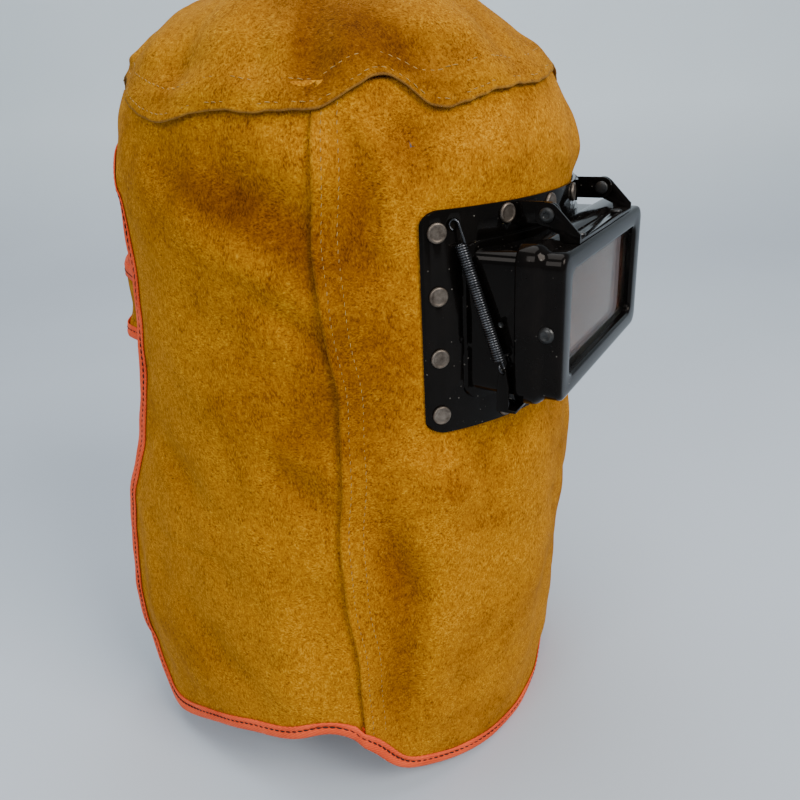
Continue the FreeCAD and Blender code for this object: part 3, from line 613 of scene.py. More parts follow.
SUEDE_NAP = suede_group()
SUEDE = use_group(new_material("golden suede", Sheen_Weight=0.10, Sheen_Roughness=0.5,
                               Sheen_Tint=(1.0, 0.62, 0.12, 1), Specular_IOR_Level=0.06), SUEDE_NAP, 0.9,
                               0.45 * MM)
TAPE = use_group(new_material("coral tape", Sheen_Weight=0.10, Sheen_Roughness=0.4, Specular_IOR_Level=0.2,
                              Sheen_Tint=(1.0, 0.45, 0.28, 1)),
                 cloth_group("tape weave", (0.62, 0.050, 0.010), (0.95, 0.120, 0.030), 420.0, 60.0), 0.2,
                 0.10 * MM)
BAND_CLOTH = use_group(new_material("sweatband cotton", Sheen_Weight=0.3, Sheen_Roughness=0.5),
                       cloth_group("cotton weave", (0.030, 0.030, 0.034), (0.085, 0.085, 0.09), 500.0,
                                   40.0), 0.5, 0.2 * MM)
HOOK_CLOTH = use_group(new_material("hook and loop", Sheen_Weight=0.4, Sheen_Roughness=0.6),
                       cloth_group("hook pile", (0.008, 0.008, 0.008), (0.04, 0.04, 0.042), 700.0, 240.0),
                       1.0, 0.5 * MM)
BLACK_THREAD = use_group(new_material("black thread", Specular_IOR_Level=0.3),
                         cloth_group("black strand", (0.004, 0.0015, 0.0015), (0.022, 0.006, 0.004), 900.0,
                                     200.0), 0.3, 0.05 * MM)
BEIGE_THREAD = use_group(new_material("beige thread", Specular_IOR_Level=0.3),
                         cloth_group("beige strand", (0.22, 0.12, 0.022), (0.44, 0.28, 0.08), 900.0, 200.0),
                         0.3, 0.05 * MM)
# Warm specular tint: painted reflection of brown surroundings in the black enamel.
ENAMEL = use_group(new_material("black enamel", Coat_Weight=0.05, Coat_Roughness=0.04,
                                Specular_IOR_Level=0.08,
                                Specular_Tint=(1.0, 0.86, 0.74, 1)),
                   paint_group("enamel wear", (0.0020, 0.0016, 0.0014), (0.007, 0.0052, 0.004), 0.725),
                   0.10, 0.1 * MM)
# Warm specular tint: painted reflection of brown surroundings in the satin enamel.
SATIN = use_group(new_material("satin enamel", Coat_Weight=0.05, Coat_Roughness=0.05,
                               Specular_IOR_Level=0.07,
                               Specular_Tint=(1.0, 0.84, 0.72, 1)),
                  paint_group("satin wear", (0.0024, 0.0020, 0.0018), (0.008, 0.006, 0.005), 0.76), 0.10,
                  0.1 * MM)
RIVET = use_group(new_material("rivet steel", Metallic=0.85),
                  metal_group("rivet stain", (0.060, 0.045, 0.034), (0.215, 0.175, 0.140), 0.32, 0.52),
                  0.25, 0.1 * MM)
PIN = use_group(new_material("black steel pin", Metallic=0.6),
                metal_group("pin stain", (0.012, 0.012, 0.012), (0.05, 0.048, 0.045), 0.28, 0.5), 0.2,
                0.08 * MM)
SPRING = use_group(new_material("oiled spring wire", Metallic=0.9),
                   metal_group("wire stain", (0.025, 0.025, 0.027), (0.11, 0.11, 0.115), 0.20, 0.34), 0.15,
                   0.05 * MM)
SPRING_STEEL = use_group(new_material("retainer steel", Metallic=1.0),
                         metal_group("retainer stain", (0.20, 0.20, 0.21), (0.50, 0.50, 0.51), 0.25, 0.42),
                         0.2, 0.08 * MM)
RUBBER = use_group(new_material("gasket rubber", Specular_IOR_Level=0.3),
                   cloth_group("rubber skin", (0.010, 0.010, 0.010), (0.03, 0.03, 0.03), 300.0, 120.0), 0.2,
                   0.1 * MM)


def glass_group(name, clear, smeared):
    """Glass that is clean except for faint wiping marks."""
    group, out = new_group(name, [("Roughness", "NodeSocketFloat")])
    where = object_coordinates(group)
    wiped = add(group, "ShaderNodeMapping", {"Vector": where, "Rotation": (0, 0.7, 0),
                                             "Scale": (1.0, 1.0, 5.0)})
    smear = noise(group, wiped.outputs[0], 28.0, 5.0, 0.65)
    group.links.new(ramp(group, smear, [(0.42, clear), (0.75, smeared)]), out.inputs["Roughness"])
    return group


def glass_material(name, group, color, **sockets):
    """Glass whose roughness comes from a group of smears."""
    material = new_material(name, color, **sockets)
    tree = material.node_tree
    node = add(tree, "ShaderNodeGroup", node_tree=group)
    tree.links.new(node.outputs["Roughness"], tree.nodes["Principled BSDF"].inputs["Roughness"])
    return material


# Warm specular tint: painted reflection of brown surroundings in the cover glass.
CLEAR_GLASS = glass_material("clear cover glass", glass_group("clear smears", 0.0, 0.06),
                             (0.95, 0.93, 0.88),
                             Transmission_Weight=1.0, IOR=1.10, Specular_Tint=(1.0, 0.80, 0.68, 1))
# Reddish-brown base colour and warm specular tint: painted reflection of brown surroundings in the dark filter.
DARK_GLASS = glass_material("dark filter glass", glass_group("dark smears", 0.01, 0.05),
                            (0.060, 0.022, 0.013),
                            Specular_IOR_Level=0.10, Specular_Tint=(1.0, 0.78, 0.66, 1))


# ------------------------------------------------------------------ leather panels

def dye(obj, used, tones_and_shade, yellow, plate_shadow):
    """Paints the suede's tone and painted shade, its yellowness and the painted shadow under the base plate on a
    thick sheet; arrays hold one side's values.
    """
    paint(obj, "tone_and_shade", np.tile(tones_and_shade.ravel(), 2)[used])
    paint(obj, "yellow", np.full(len(used), yellow))
    paint(obj, "plate_shadow", np.tile(plate_shadow.ravel(), 2)[used])


def lap_lift(angle, z):
    """How far the front panel rides over the side panel beside the seam."""
    gap = (seam_angle(z) - np.abs(angle)) * ARC_MM * MM
    ahead = 1.5 * MM * np.exp(-np.clip(gap, 0, 1) / (13 * MM)) + 0.5 * MM * step(7 * MM, 0, gap)
    lift = np.where(gap > 0, ahead, 2.0 * MM * (1 - step(0, 6 * MM, -gap)))
    return lift * (1 - 0.75 * step(-0.062, -0.050, z))


def mirrored_line(line):
    """The same line or grid on the hood's other half: the angle's sign is changed."""
    return line * np.array([-1, 1])


def seam_line(side):
    """The front seam from the hem to under the crown."""
    z = np.linspace(RIM[SEAM_AT, 1], PANEL_TOP, 300)
    return np.stack([side * seam_angle(z), z], -1)


def panel(name, node, places, lift, holes=None):
    """A folded leather panel over a grid of places on the hood."""
    angle, z = places[..., 0], places[..., 1]
    outer = leather(angle, z, lift)
    normal = normals_of(outer)
    inner = outer - normal * (GAUGE * 0.9)
    keep = None
    if holes is not None:
        keep = ~holes(0.25 * (outer[:-1, :-1] + outer[1:, :-1] + outer[:-1, 1:] + outer[1:, 1:]))
    obj, used = thick_sheet(name, outer, inner, SUEDE, keep)
    dye(obj, used, tone_and_shade(angle, z), 0.15, under_plate(outer))
    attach(obj, "hood")
    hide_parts(node)
    return obj


def window_hole(points):
    """The cut-out behind the lens holder."""
    return ((np.abs(points[..., 0]) < 57 * MM) & (np.abs(points[..., 2] - WINDOW_Z) < 28 * MM)
            & (points[..., 1] < 0))


def under_plate(points):
    """1 where the base plate covers the leather: the mask of the painted shadow under the plate."""
    across = 1 - step(69 * MM, 72 * MM, np.abs(points[..., 0]))
    up = 1 - step(42 * MM, 45 * MM, np.abs(points[..., 2] - WINDOW_Z))
    return across * up * (points[..., 1] < 0)


def build_panels():
    """Front panel with its cut-out, and a side panel on each side tucked under its edges."""
    hem_half = RIM[:SEAM_AT + 1]
    bottom = np.concatenate([mirrored_line(hem_half)[::-1], hem_half[1:]])
    top = np.stack([np.linspace(-1, 1, 200) * seam_angle(np.array(PANEL_TOP)), np.full(200, PANEL_TOP)], -1)
    places = patch(bottom, top, seam_line(-1), seam_line(1), 150, 180)
    panel("front_panel_leather", "front_panel", places, lap_lift(places[..., 0], places[..., 1]),
          window_hole)
    for side, node in ((1, "side_panel_left"), (-1, "side_panel_right")):
        bottom, back = RIM[SEAM_AT:CORNER_AT + 1], RIM[CORNER_AT:]
        back = np.concatenate([back, [[180.0, -0.052], [180.0, PANEL_TOP]]])
        tucked = seam_line(1) - np.array([3.5, 0])
        bottom = np.concatenate([tucked[:1], bottom])
        top = np.stack([np.linspace(tucked[-1, 0], 180, 200), np.full(200, PANEL_TOP)], -1)
        places = patch(bottom, top, tucked, back, 118, 180)
        under = (places[..., 0] - seam_angle(places[..., 1])) * ARC_MM * MM
        lift = -0.8 * MM * step(9 * MM, -2 * MM, under)
        if side < 0:
            places = mirrored_line(places)[:, ::-1]
            lift = lift[:, ::-1]
        panel(f"{node}_leather", node, places, lift)


def dome(angle, travel, edge_z, curl):
    """Points of the crown at a distance up its side from the raw edge."""
    turn = np.radians(angle)
    up = smooth(DOME, 1, travel)
    near_edge = 1 - step(0, 26 * MM, travel)
    drop = (edge_z - DOME[0, 1]) * near_edge
    higher = np.maximum(np.interp(up + drop, DOME[:, 1], DOME[:, 0]) - travel, 0) * near_edge
    half, front, back = (smooth(DOME, column, travel + higher) for column in (2, 3, 4))
    z = up + drop
    lapped = [smooth(HOOD, column, np.maximum(z, -0.058)) + 2.5 * MM for column in (1, 2, 3)]
    low = step(-0.034, -0.046, z)
    half, front, back = (own + low * np.maximum(over - own, 0) for own,
                         over in zip((half, front, back), lapped))
    reach = np.where(np.cos(turn) > 0, front, back)
    base = np.stack([half * np.sin(turn), -reach * np.cos(turn), z], -1)
    way = outward(angle, np.full_like(up, DOME_WAY))
    return base + way * (0.45 * curl * np.exp(-travel / (9 * MM)))[..., None]


def build_crown():
    """Domed crown with a wavy raw edge, soft gathers above its seam and a slumped top."""
    angles = np.linspace(-180, 180, 420, endpoint=False)
    travel = DOME[-1, 0] * np.linspace(0, 1, 84) ** 1.05
    angle, run = np.meshgrid(angles, travel)
    spots = hood(angle, np.full_like(angle, DOME_WAY))
    edge_table = CROWN_EDGE * np.array([1, MM, MM])
    edge_z = smooth(edge_table, 1, angle)
    edge_z = edge_z + 0.35 * MM * waves(spots, 0.018, 21) + 0.2 * MM * waves(spots, 0.006, 22)
    curl = smooth(edge_table, 2, angle)
    outer = dome(angle, run, edge_z, curl)
    normal = normals_of(outer)
    gathers = np.zeros_like(angle)
    for place, wide, depth, reach_mm in ((-141, 5, -3.0, 40), (-128, 4, -2.2, 30), (-116, 5, 1.8, 34),
                                      (-104, 4, -2.4, 42), (-93, 5, 1.8, 40), (-81, 4, -1.6, 36),
                                      (-67, 5, -3.0, 48), (-57, 4, 1.8, 40), (-48, 4, -1.4, 30),
                                      (-24, 6, 1.6, 40), (-12, 5, -1.8, 36), (24, 6, -1.6, 40),
                                      (44, 6, 1.6, 36), (66, 5, -2.8, 46), (90, 5, 1.8, 40),
                                      (108, 4, -2.4, 40), (126, 5, -2.0, 36), (150, 6, -2.0, 44),
                                      (176, 6, 1.6, 40), (-160, 5, -1.8, 40)):
        gathers += depth * np.exp(-((angle - place) / wide) ** 2) * np.exp(-((run - 6 * MM) / (reach_mm * MM)) ** 2)
    calm = step(0, 5 * MM, run) * 0.75 + 0.25
    gathers = gathers * (0.35 + 0.65 * step(2 * MM, 16 * MM, run))
    soft = (gathers * MM * calm + 1.1 * MM * waves(outer, 0.075, 31) * step(0, 25 * MM, run)
            + 0.3 * MM * waves(outer, 0.024, 33) * step(0, 10 * MM, run))
    outer = outer + normal * soft[..., None]
    normal = normals_of(outer)
    normal[-1] = (0, 0, 1)
    feathered = 0.7 * MM + 1.1 * MM * step(0, 6 * MM, run)
    inner = outer - normal * feathered[..., None]
    outer[-1] = outer[-1].mean(0)
    inner[-1] = inner[-1].mean(0)
    obj, used = thick_sheet("crown_leather", outer, inner, SUEDE, wrap=True)
    # Painted shade: darker in the hollows of the gathers, with soft darker patches of nap.
    shade = 0.25 + 0.35 * waves(outer, 0.06, 41) + 0.5 * np.clip(-gathers / 3, 0, 1)
    for place, up, wide, tall, depth in ((-60, 24, 10, 16, 0.8), (-46, 14, 6, 9, 0.6),
                                         (-104, 18, 6, 14, 0.5),
                                         (-136, 10, 5, 10, 0.5), (40, 30, 14, 18, 0.5),
                                         (110, 20, 9, 14, 0.5)):
        shade += depth * np.exp(-((angle - place) / wide) ** 2 - ((run / MM - up) / tall) ** 2)
    dye(obj, used, np.clip(shade - 0.25, -0.4, 1), 1.0, np.zeros(shade.shape))
    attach(obj, "hood")
    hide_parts("crown_panel")
    for number, distance in enumerate((3.0, 11.0)):
        row = np.array([np.interp(distance * MM, travel, np.arange(len(travel)))])
        low = int(row[0])
        part = row[0] - low
        path = (1 - part) * outer[low] + part * outer[low + 1]
        way = unit((1 - part) * normal[low] + part * normal[low + 1])
        stitches(f"crown_stitches_{number}", np.vstack([path, path[:1]]), np.vstack([way, way[:1]]),
                 BEIGE_THREAD, "hood", radius=0.20 * MM, sunk=0.26 * MM)


# ------------------------------------------------------------------ seams and binding

def seam_stitches():
    """Two rows of stitches on the front panel beside each front seam."""
    for side, name in ((1, "left"), (-1, "right")):
        for row, inset in enumerate((3.8, 10.0)):
            line = even(seam_line(side), 700)[14:] - np.array([side * inset / ARC_MM, 0])
            path = leather(line[:, 0], line[:, 1], lap_lift(line[:, 0], line[:, 1]))
            stitches(f"seam_stitches_{name}_{row}", path, outward(line[:, 0], line[:, 1]), BEIGE_THREAD,
                     "hood", length=2.2 * MM, gap=1.1 * MM, radius=0.20 * MM, sunk=0.12 * MM)


def closed_rim():
    """Outer edge points, normals and inward directions all round the free edge."""
    full = np.concatenate([RIM, mirrored_line(RIM)[::-1][1:-1]])
    scale = np.array([2.0 * MM, 1.0])
    along = unit((np.roll(full, -4, 0) - np.roll(full, 4, 0)) * scale)
    inset = np.stack([-along[:, 1], along[:, 0]], -1) * 6 * MM
    if np.mean(inset[:, 1] * (full[:, 1] < -0.3)) < 0:
        inset = -inset
    near = full + inset / scale
    edge = leather(full[:, 0], full[:, 1], lap_lift(full[:, 0], full[:, 1]))
    inwards = unit(leather(near[:, 0], near[:, 1], lap_lift(near[:, 0], near[:, 1])) - edge)
    ahead = unit(np.roll(edge, -3, 0) - np.roll(edge, 3, 0))
    normal = unit(np.cross(ahead, inwards))
    facing = np.sign(np.einsum("ij,ij->i", normal, outward(full[:, 0], full[:, 1])))
    return edge, normal * facing[:, None], inwards


def build_binding():
    """Tape folded over the edge: a U section swept round it, dimpled by its stitches."""
    edge, normal, inwards = closed_rim()
    width, skin = 7.0 * MM, 0.55 * MM
    outer_lift, inner_lift = 0.9 * MM, -GAUGE - 0.6 * MM
    run = np.concatenate([[0], np.cumsum(np.linalg.norm(np.diff(edge, axis=0), axis=1))])
    pucker = 0.16 * MM * np.sin(2 * pi * run / (3.3 * MM)) + 0.3 * MM * waves(edge, 0.03, 51)
    section = [(width, outer_lift - skin, 0), (width, outer_lift, 0),
               (0.82 * width, outer_lift + 0.12 * MM, 0.4),
               (0.66 * width, outer_lift - 0.10 * MM, 1), (0.60 * width, outer_lift - 0.26 * MM, 1),
               (0.54 * width, outer_lift - 0.10 * MM, 1), (0.36 * width, outer_lift + 0.16 * MM, 0.4),
               (0.12 * width, outer_lift + 0.05 * MM, 0), (-0.5 * MM, outer_lift - 0.45 * MM, 0),
               (-0.9 * MM, (outer_lift + inner_lift) / 2, 0), (-0.5 * MM, inner_lift + 0.45 * MM, 0),
               (0.12 * width, inner_lift, 0), (0.54 * width, inner_lift, 0), (width, inner_lift, 0),
               (width, inner_lift + skin, 0), (0.5 * MM, inner_lift + skin, 0),
               (0.5 * MM, outer_lift - skin, 0)]
    rings = np.stack([edge + inwards * (depth + 0.5 * (index < 2) * pucker[:, None])
                      + normal * (lift + share * pucker[:, None] * 0.6)
                      for index, (depth, lift, share) in enumerate(section)], 1)
    faces = grid_faces(len(edge), len(section), wrap_rows=True, wrap_columns=True)
    obj = mesh_object("hem_binding_tape", rings, faces.tolist(), TAPE)
    outward_faces(obj)
    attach(obj, "hood")
    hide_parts("edge_binding")
    path = edge + inwards * (0.60 * width) + normal * (outer_lift - 0.12 * MM)
    stitches("hem_stitches", np.vstack([path, path[:1]]), np.vstack([normal, normal[:1]]), BLACK_THREAD,
             "hood",
             length=3.3 * MM, gap=0.1 * MM, radius=0.40 * MM)
    path = edge + inwards * (0.58 * width) + normal * (inner_lift + 0.1 * MM)
    stitches("hem_stitches_inside", np.vstack([path, path[:1]]), -np.vstack([normal, normal[:1]]),
             BLACK_THREAD,
             "hood", length=3.0 * MM, gap=0.35 * MM, radius=0.26 * MM)


def outward_faces(obj):
    """Makes every face of a closed mesh look outwards."""
    bm = bmesh.new()
    bm.from_mesh(obj.data)
    bmesh.ops.recalc_face_normals(bm, faces=bm.faces)
    bm.to_mesh(obj.data)
    bm.free()


# ------------------------------------------------------------------ rear strap

def strap_grid(offset):
    """Grid over the strap: from its sewn end on the right, round the back, to its tip on the left."""
    low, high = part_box("closure_strap")[0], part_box("closure_strap")[1]
    half_height = (high.z - low.z) / 2
    middle = (high.z + low.z) / 2
    angle = np.linspace(STRAP_SEWN_AT, STRAP_TIP_AT, 150)
    across = np.linspace(-1, 1, 22)
    share = (angle - angle[0]) / (angle[-1] - angle[0])
    taper = 1 - 0.10 * share
    tip = np.sqrt(np.clip(1 - ((share - 0.93) / 0.07).clip(0, 1) ** 2, 0, 1)) * 0.72 + 0.28
    rise = half_height * taper * tip
    z = middle + across[:, None] * rise[None] + 2.0 * MM * np.sin(pi * share)[None] * across[:, None] ** 2
    bulge = 3.4 * MM * np.exp(-((share - 0.2) / 0.12) ** 2) - 1.2 * MM * across[:,
                                                                                None] ** 2 * np.sin(pi * share)
    offset = offset - 2.2 * MM * (1 - step(0, 0.1, share))
    offset = offset + 4.0 * MM * np.exp(-((share - 0.07) / 0.05) ** 2) * step(0.1, 1.0, -across)[:, None]
    lie = offset + 0 * z + bulge + 0.4 * MM * waves(hood(angle[None] + 0 * z, z), 0.03, 61)
    points = hood(angle[None] + 0 * z, z) + outward(angle[None] + 0 * z, z) * lie[..., None]
    return points


def build_strap():
    """Leather strap with taped edges that closes the back opening."""
    points = strap_grid(3.6 * MM)
    normal = -normals_of(points)
    outer, inner = points[:, ::-1], (points - normal * (GAUGE * 0.85))[:, ::-1]
    obj, used = thick_sheet("rear_strap_leather", outer, inner, SUEDE)
    outward_faces(obj)
    dye(obj, used, 0.15 + 0.25 * waves(outer, 0.03, 71), 0.1, np.zeros(outer.shape[:2]))
    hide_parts("closure_strap", "strap_base")
    pieces = [obj]
    border = np.concatenate([points[0], points[1:, -1], points[-1, ::-1][1:]])
    border_normal = np.concatenate([normal[0], normal[1:, -1], normal[-1, ::-1][1:]])
    ahead = unit(np.gradient(border, axis=0))
    inwards = unit(np.cross(border_normal, ahead))
    if np.mean(np.einsum("ij,ij->i", inwards, points.mean((0, 1)) - border)) < 0:
        inwards = -inwards
    width, skin = 6.0 * MM, 0.5 * MM
    top, bottom = 0.75 * MM, -GAUGE * 0.85 - 0.6 * MM
    section = [(width, top - skin), (width, top), (0.7 * width, top - 0.05 * MM),
               (0.6 * width, top - 0.22 * MM),
               (0.5 * width, top - 0.05 * MM), (0.2 * width, top + 0.1 * MM), (-0.5 * MM, top - 0.4 * MM),
               (-0.8 * MM, (top + bottom) / 2), (-0.5 * MM, bottom + 0.4 * MM), (0.2 * width, bottom),
               (width, bottom), (width, bottom + skin), (0.5 * MM, bottom + skin), (0.5 * MM, top - skin)]
    rings = np.stack([border + inwards * depth + border_normal * lift for depth, lift in section], 1)
    faces = grid_faces(len(border), len(section), wrap_columns=True).tolist()
    faces += [list(range(len(section))), [(len(border) - 1) * len(section) + k for k in range(len(section))][::-1]]
    tape = mesh_object("rear_strap_tape", rings, faces, TAPE)
    outward_faces(tape)
    pieces.append(tape)
    path = border + inwards * (0.6 * width) + border_normal * (top - 0.1 * MM)
    pieces.append(stitches("rear_strap_stitches", path, border_normal, BLACK_THREAD, None, radius=0.28 * MM))
    for piece in pieces:
        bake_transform(piece)


# ------------------------------------------------------------------ steel

def refined(node, material, width=0.3 * MM, name=None):
    """The CAD piece with its sharp edges broken, as a new object that stands for it."""
    source = frame["nodes"][node]
    bm = bmesh.new()
    bm.from_mesh(source.data)
    bmesh.ops.remove_doubles(bm, verts=bm.verts, dist=0.004 * MM)
    bmesh.ops.dissolve_limit(bm, angle_limit=radians(1.0), verts=bm.verts, edges=bm.edges)
    mesh = bpy.data.meshes.new(name or f"{node}_finished")
    bm.to_mesh(mesh)
    bm.free()
    obj = bpy.data.objects.new(mesh.name, mesh)
    bpy.context.scene.collection.objects.link(obj)
    bevel = obj.modifiers.new("broken_edges", "BEVEL")
    bevel.width, bevel.segments, bevel.limit_method = width, 3, "ANGLE"
    bevel.angle_limit = radians(35)
    apply_modifiers(obj)
    obj.data.materials.clear()
    obj.data.materials.append(material)
    obj.data.polygons.foreach_set("use_smooth", [True] * len(obj.data.polygons))
    obj.data.set_sharp_from_angle(angle=radians(32))
    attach(obj, source["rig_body"])
    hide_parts(node)
    return obj


def apply_modifiers(obj):
    """Puts the modifiers' result in the object's own mesh."""
    depsgraph = bpy.context.evaluated_depsgraph_get()
    finished = bpy.data.meshes.new_from_object(obj.evaluated_get(depsgraph))
    finished.name = obj.data.name
    obj.modifiers.clear()
    obj.data = finished


def rounded_loop(half_width, half_height, corner, count=10, sides=26):
    """A rounded rectangle seen from the front, the same number of points for any size."""
    points = []
    for cx, cz, start in ((1, -1, -90), (1, 1, 0), (-1, 1, 90), (-1, -1, 180)):
        centre = np.array([cx * (half_width - corner), cz * (half_height - corner)])
        turn = np.radians(start + np.linspace(0, 90, count))
        points.append(centre + corner * np.stack([np.cos(turn), np.sin(turn)], -1))
        following = {(1, -1): (1, 1), (1, 1): (-1, 1), (-1, 1): (-1, -1), (-1, -1): (1, -1)}[(cx, cz)]
        target = np.array([following[0] * (half_width - corner), following[1] * (half_height - corner)])
        last = points[-1][-1]
        end = target + corner * np.array([cos(radians(start + 90)), sin(radians(start + 90))])
        points.append(last + (end - last) * np.linspace(0, 1, sides + 2)[1:-1, None])
    return np.concatenate(points)


def swept_rectangle(name, rings, front, material):
    """A wall swept through rounded rectangles: depth behind the front, half width, half height, corner."""
    loops = []
    for depth, half_width, half_height, corner in rings:
        loop = rounded_loop(half_width * MM, half_height * MM, corner * MM)
        loops.append(np.stack([loop[:, 0], np.full(len(loop), front + depth * MM), WINDOW_Z + loop[:, 1]],
                              -1))
    faces = grid_faces(len(loops), len(loops[0]), wrap_rows=True, wrap_columns=True)
    obj = mesh_object(name, np.array(loops), faces.tolist(), material)
    outward_faces(obj)
    obj.data.set_sharp_from_angle(angle=radians(50))
    return obj


def build_flip_front():
    """Pressed front: window turned in, soft face edge, S-shaped step and flared skirt."""
    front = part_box("flip_front")[0].y
    half_width, half_height = 60.0, 29.9
    rings = [(3.6, 49.6, 22.3, 5.2), (3.5, 48.5, 21.2, 4.4), (1.6, 48.5, 21.2, 4.4),
             (0.7, 48.75, 21.45, 4.6),
             (0.2, 49.3, 22.0, 5.0), (0.0, 50.2, 22.9, 5.4), (0.0, 57.6, 27.5, 4.6),
             (0.12, 58.5, 28.4, 5.0),
             (0.5, 59.3, 29.2, 5.5), (1.2, 59.8, 29.7, 5.9), (2.2, half_width, half_height, 6.0),
             (6.5, half_width, half_height, 6.0), (7.6, 60.15, 30.1, 6.1), (8.6, 60.6, 30.7, 6.4),
             (9.6, 61.3, 31.6, 6.9), (10.6, 61.9, 32.3, 7.3), (11.8, 62.25, 32.65, 7.6),
             (17.9, 62.3, 32.7, 7.7), (18.6, 62.15, 32.55, 7.6), (18.9, 61.7, 32.1, 7.3),
             (18.7, 61.15, 31.55, 6.9),
             (12.2, 61.1, 31.5, 6.8), (10.9, 60.5, 30.9, 6.4), (9.6, 59.5, 29.7, 5.7),
             (8.6, 58.95, 29.0, 5.2),
             (7.4, 58.8, 28.7, 4.8), (1.3, 58.8, 28.7, 4.8), (1.2, 58.0, 27.9, 4.2), (1.2, 51.0, 23.7, 5.4),
             (1.6, 49.9, 22.6, 5.3)]
    obj = swept_rectangle("flip_front_shell", rings, front, SATIN)
    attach(obj, "flip_lid")
    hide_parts("flip_front")


def islands(node):
    """The loose pieces of a CAD node, each as an array of its points."""
    bm = bmesh.new()
    bm.from_mesh(frame["nodes"][node].data)
    bmesh.ops.remove_doubles(bm, verts=bm.verts, dist=0.001 * MM)
    seen, pieces = set(), []
    for vert in bm.verts:
        if vert.index in seen:
            continue
        stack, piece = [vert], []
        seen.add(vert.index)
        while stack:
            current = stack.pop()
            piece.append(current.co[:])
            for edge in current.link_edges:
                other = edge.other_vert(current)
                if other.index not in seen:
                    seen.add(other.index)
                    stack.append(other)
        pieces.append(np.array(piece))
    bm.free()
    return pieces


def turned(profile, base, way, sides=40):
    """Points and faces of a solid turned about an axis: radius and distance along it."""
    way = way / np.linalg.norm(way)
    across = unit(np.cross(way, [0.1, 0.2, 1.0]))
    along = np.cross(way, across)
    turn = np.linspace(0, 2 * pi, sides, endpoint=False)
    rings = np.stack([base + way * height + radius * (np.cos(turn)[:, None] * across + np.sin(turn)[:,
                                                                                                    None] * along)
                      for radius, height in profile])
    return rings.reshape(-1, 3), grid_faces(len(profile), sides, wrap_columns=True)


def turned_group(name, profile, places, material, body, nodes):
    """Several copies of one turned shape in one object."""
    points, faces = [], []
    for base, way in places:
        one, quads = turned(profile, base, way)
        faces.append(quads + sum(len(item) for item in points))
        points.append(one)
    obj = mesh_object(name, np.concatenate(points), np.concatenate(faces).tolist(), material)
    outward_faces(obj)
    obj.data.set_sharp_from_angle(angle=radians(38))
    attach(obj, body)
    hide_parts(*nodes)
    return obj


def plate_rivet_places():
    """Seat and direction of each plate rivet, square to the curved plate."""
    plate_axis, plate_radius = 2.6 * MM, 107.0 * MM
    places = []
    for piece in islands("plate_rivets"):
        middle = piece.mean(0)
        way = unit(np.array([middle[0], middle[1] - plate_axis, 0.0]))
        places.append((np.array([0, plate_axis, (piece[:, 2].max() + piece[:, 2].min()) / 2])
                       + way * plate_radius, way))
    return places


def build_rivets():
    """Coin-headed plate rivets, domed frame rivets and the bail's studs; profiles are radius and height."""
    coin = [(0.0, -7.7), (3.0, -7.7), (3.2, -7.4), (3.2, -6.9), (1.9, -6.8), (1.9, 0.05), (3.95, 0.05),
            (4.05, 0.3),
            (3.95, 0.85), (3.7, 1.15), (3.35, 1.25), (3.05, 1.2), (2.8, 1.05), (2.4, 1.02), (1.2, 1.06),
            (0.0, 1.08)]
    turned_group("plate_rivet_set", [(r * MM, d * MM) for r, d in coin], plate_rivet_places(), RIVET,
                 "hood", ["plate_rivets"])
    for node, reach, body, scale in (("filter_retainer_rivets", 60.05, "flip_lid", 1.0),
                                     ("cover_retainer_rivets", 58.25, "hood", 0.68)):
        dome_head = [(0.0, -2.4), (1.2, -2.4), (1.2, 0.0), (3.2 * scale, 0.0), (3.3 * scale, 0.25),
                     (3.1 * scale, 0.75),
                     (2.6 * scale, 1.2), (1.9 * scale, 1.45), (1.5 * scale, 1.3), (0.9 * scale, 1.05),
                     (0.0, 1.0)]
        places = []
        for piece in islands(node):
            centre = piece.mean(0)
            side = np.sign(centre[0])
            places.append((np.array([side * reach * MM, (piece[:, 1].max() + piece[:, 1].min()) / 2,
                                     (piece[:, 2].max() + piece[:, 2].min()) / 2]),
                                     np.array([side, 0.0, 0.0])))
        turned_group(f"{node}_set", [(r * MM, d * MM) for r, d in dome_head], places, PIN,
                     body, [node])
    places = [(np.array([piece[:, 0].mean(), piece[:, 1].mean(), WINDOW_Z + 31.3 * MM]),
               np.array([0, 0, 1.0]))
              for piece in islands("bail_rivets")]
    stud = [(0.0, -2.8), (1.2, -2.8), (1.2, 0.0), (2.5, 0.0), (2.6, 0.3), (2.3, 0.8), (1.6, 1.05),
            (0.0, 1.1)]
    turned_group("bail_rivet_set", [(r * MM, d * MM) for r, d in stud], places, PIN,
                 "flip_lid",
                 ["bail_rivets"])


def build_pivots():
    """Pivot pins with domed, punched heads."""
    for side, sign in (("left", 1), ("right", -1)):
        low, high = (np.array(corner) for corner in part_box(f"pivot_pin_{side}"))
        centre = (low + high) / 2
        inner = np.array([low[0] if sign > 0 else high[0], centre[1], centre[2]])
        long = (high[0] - low[0]) / MM
        profile = [(0.0, 0.0), (2.2, 0.0), (2.8, 0.3), (3.0, 0.7), (3.0, 1.2), (2.0, 1.2),
                   (2.0, long - 1.4),
                   (3.0, long - 1.4), (3.05, long - 1.0), (2.9, long - 0.5), (2.4, long - 0.15),
                   (1.8, long),
                   (1.3, long - 0.1), (1.0, long - 0.5), (0.0, long - 0.6)]
        turned_group(f"pivot_pin_{side}_turned", [(r * MM, d * MM) for r, d in profile],
                     [(inner, np.array([sign, 0.0, 0.0]))], PIN, "hood", [f"pivot_pin_{side}"])


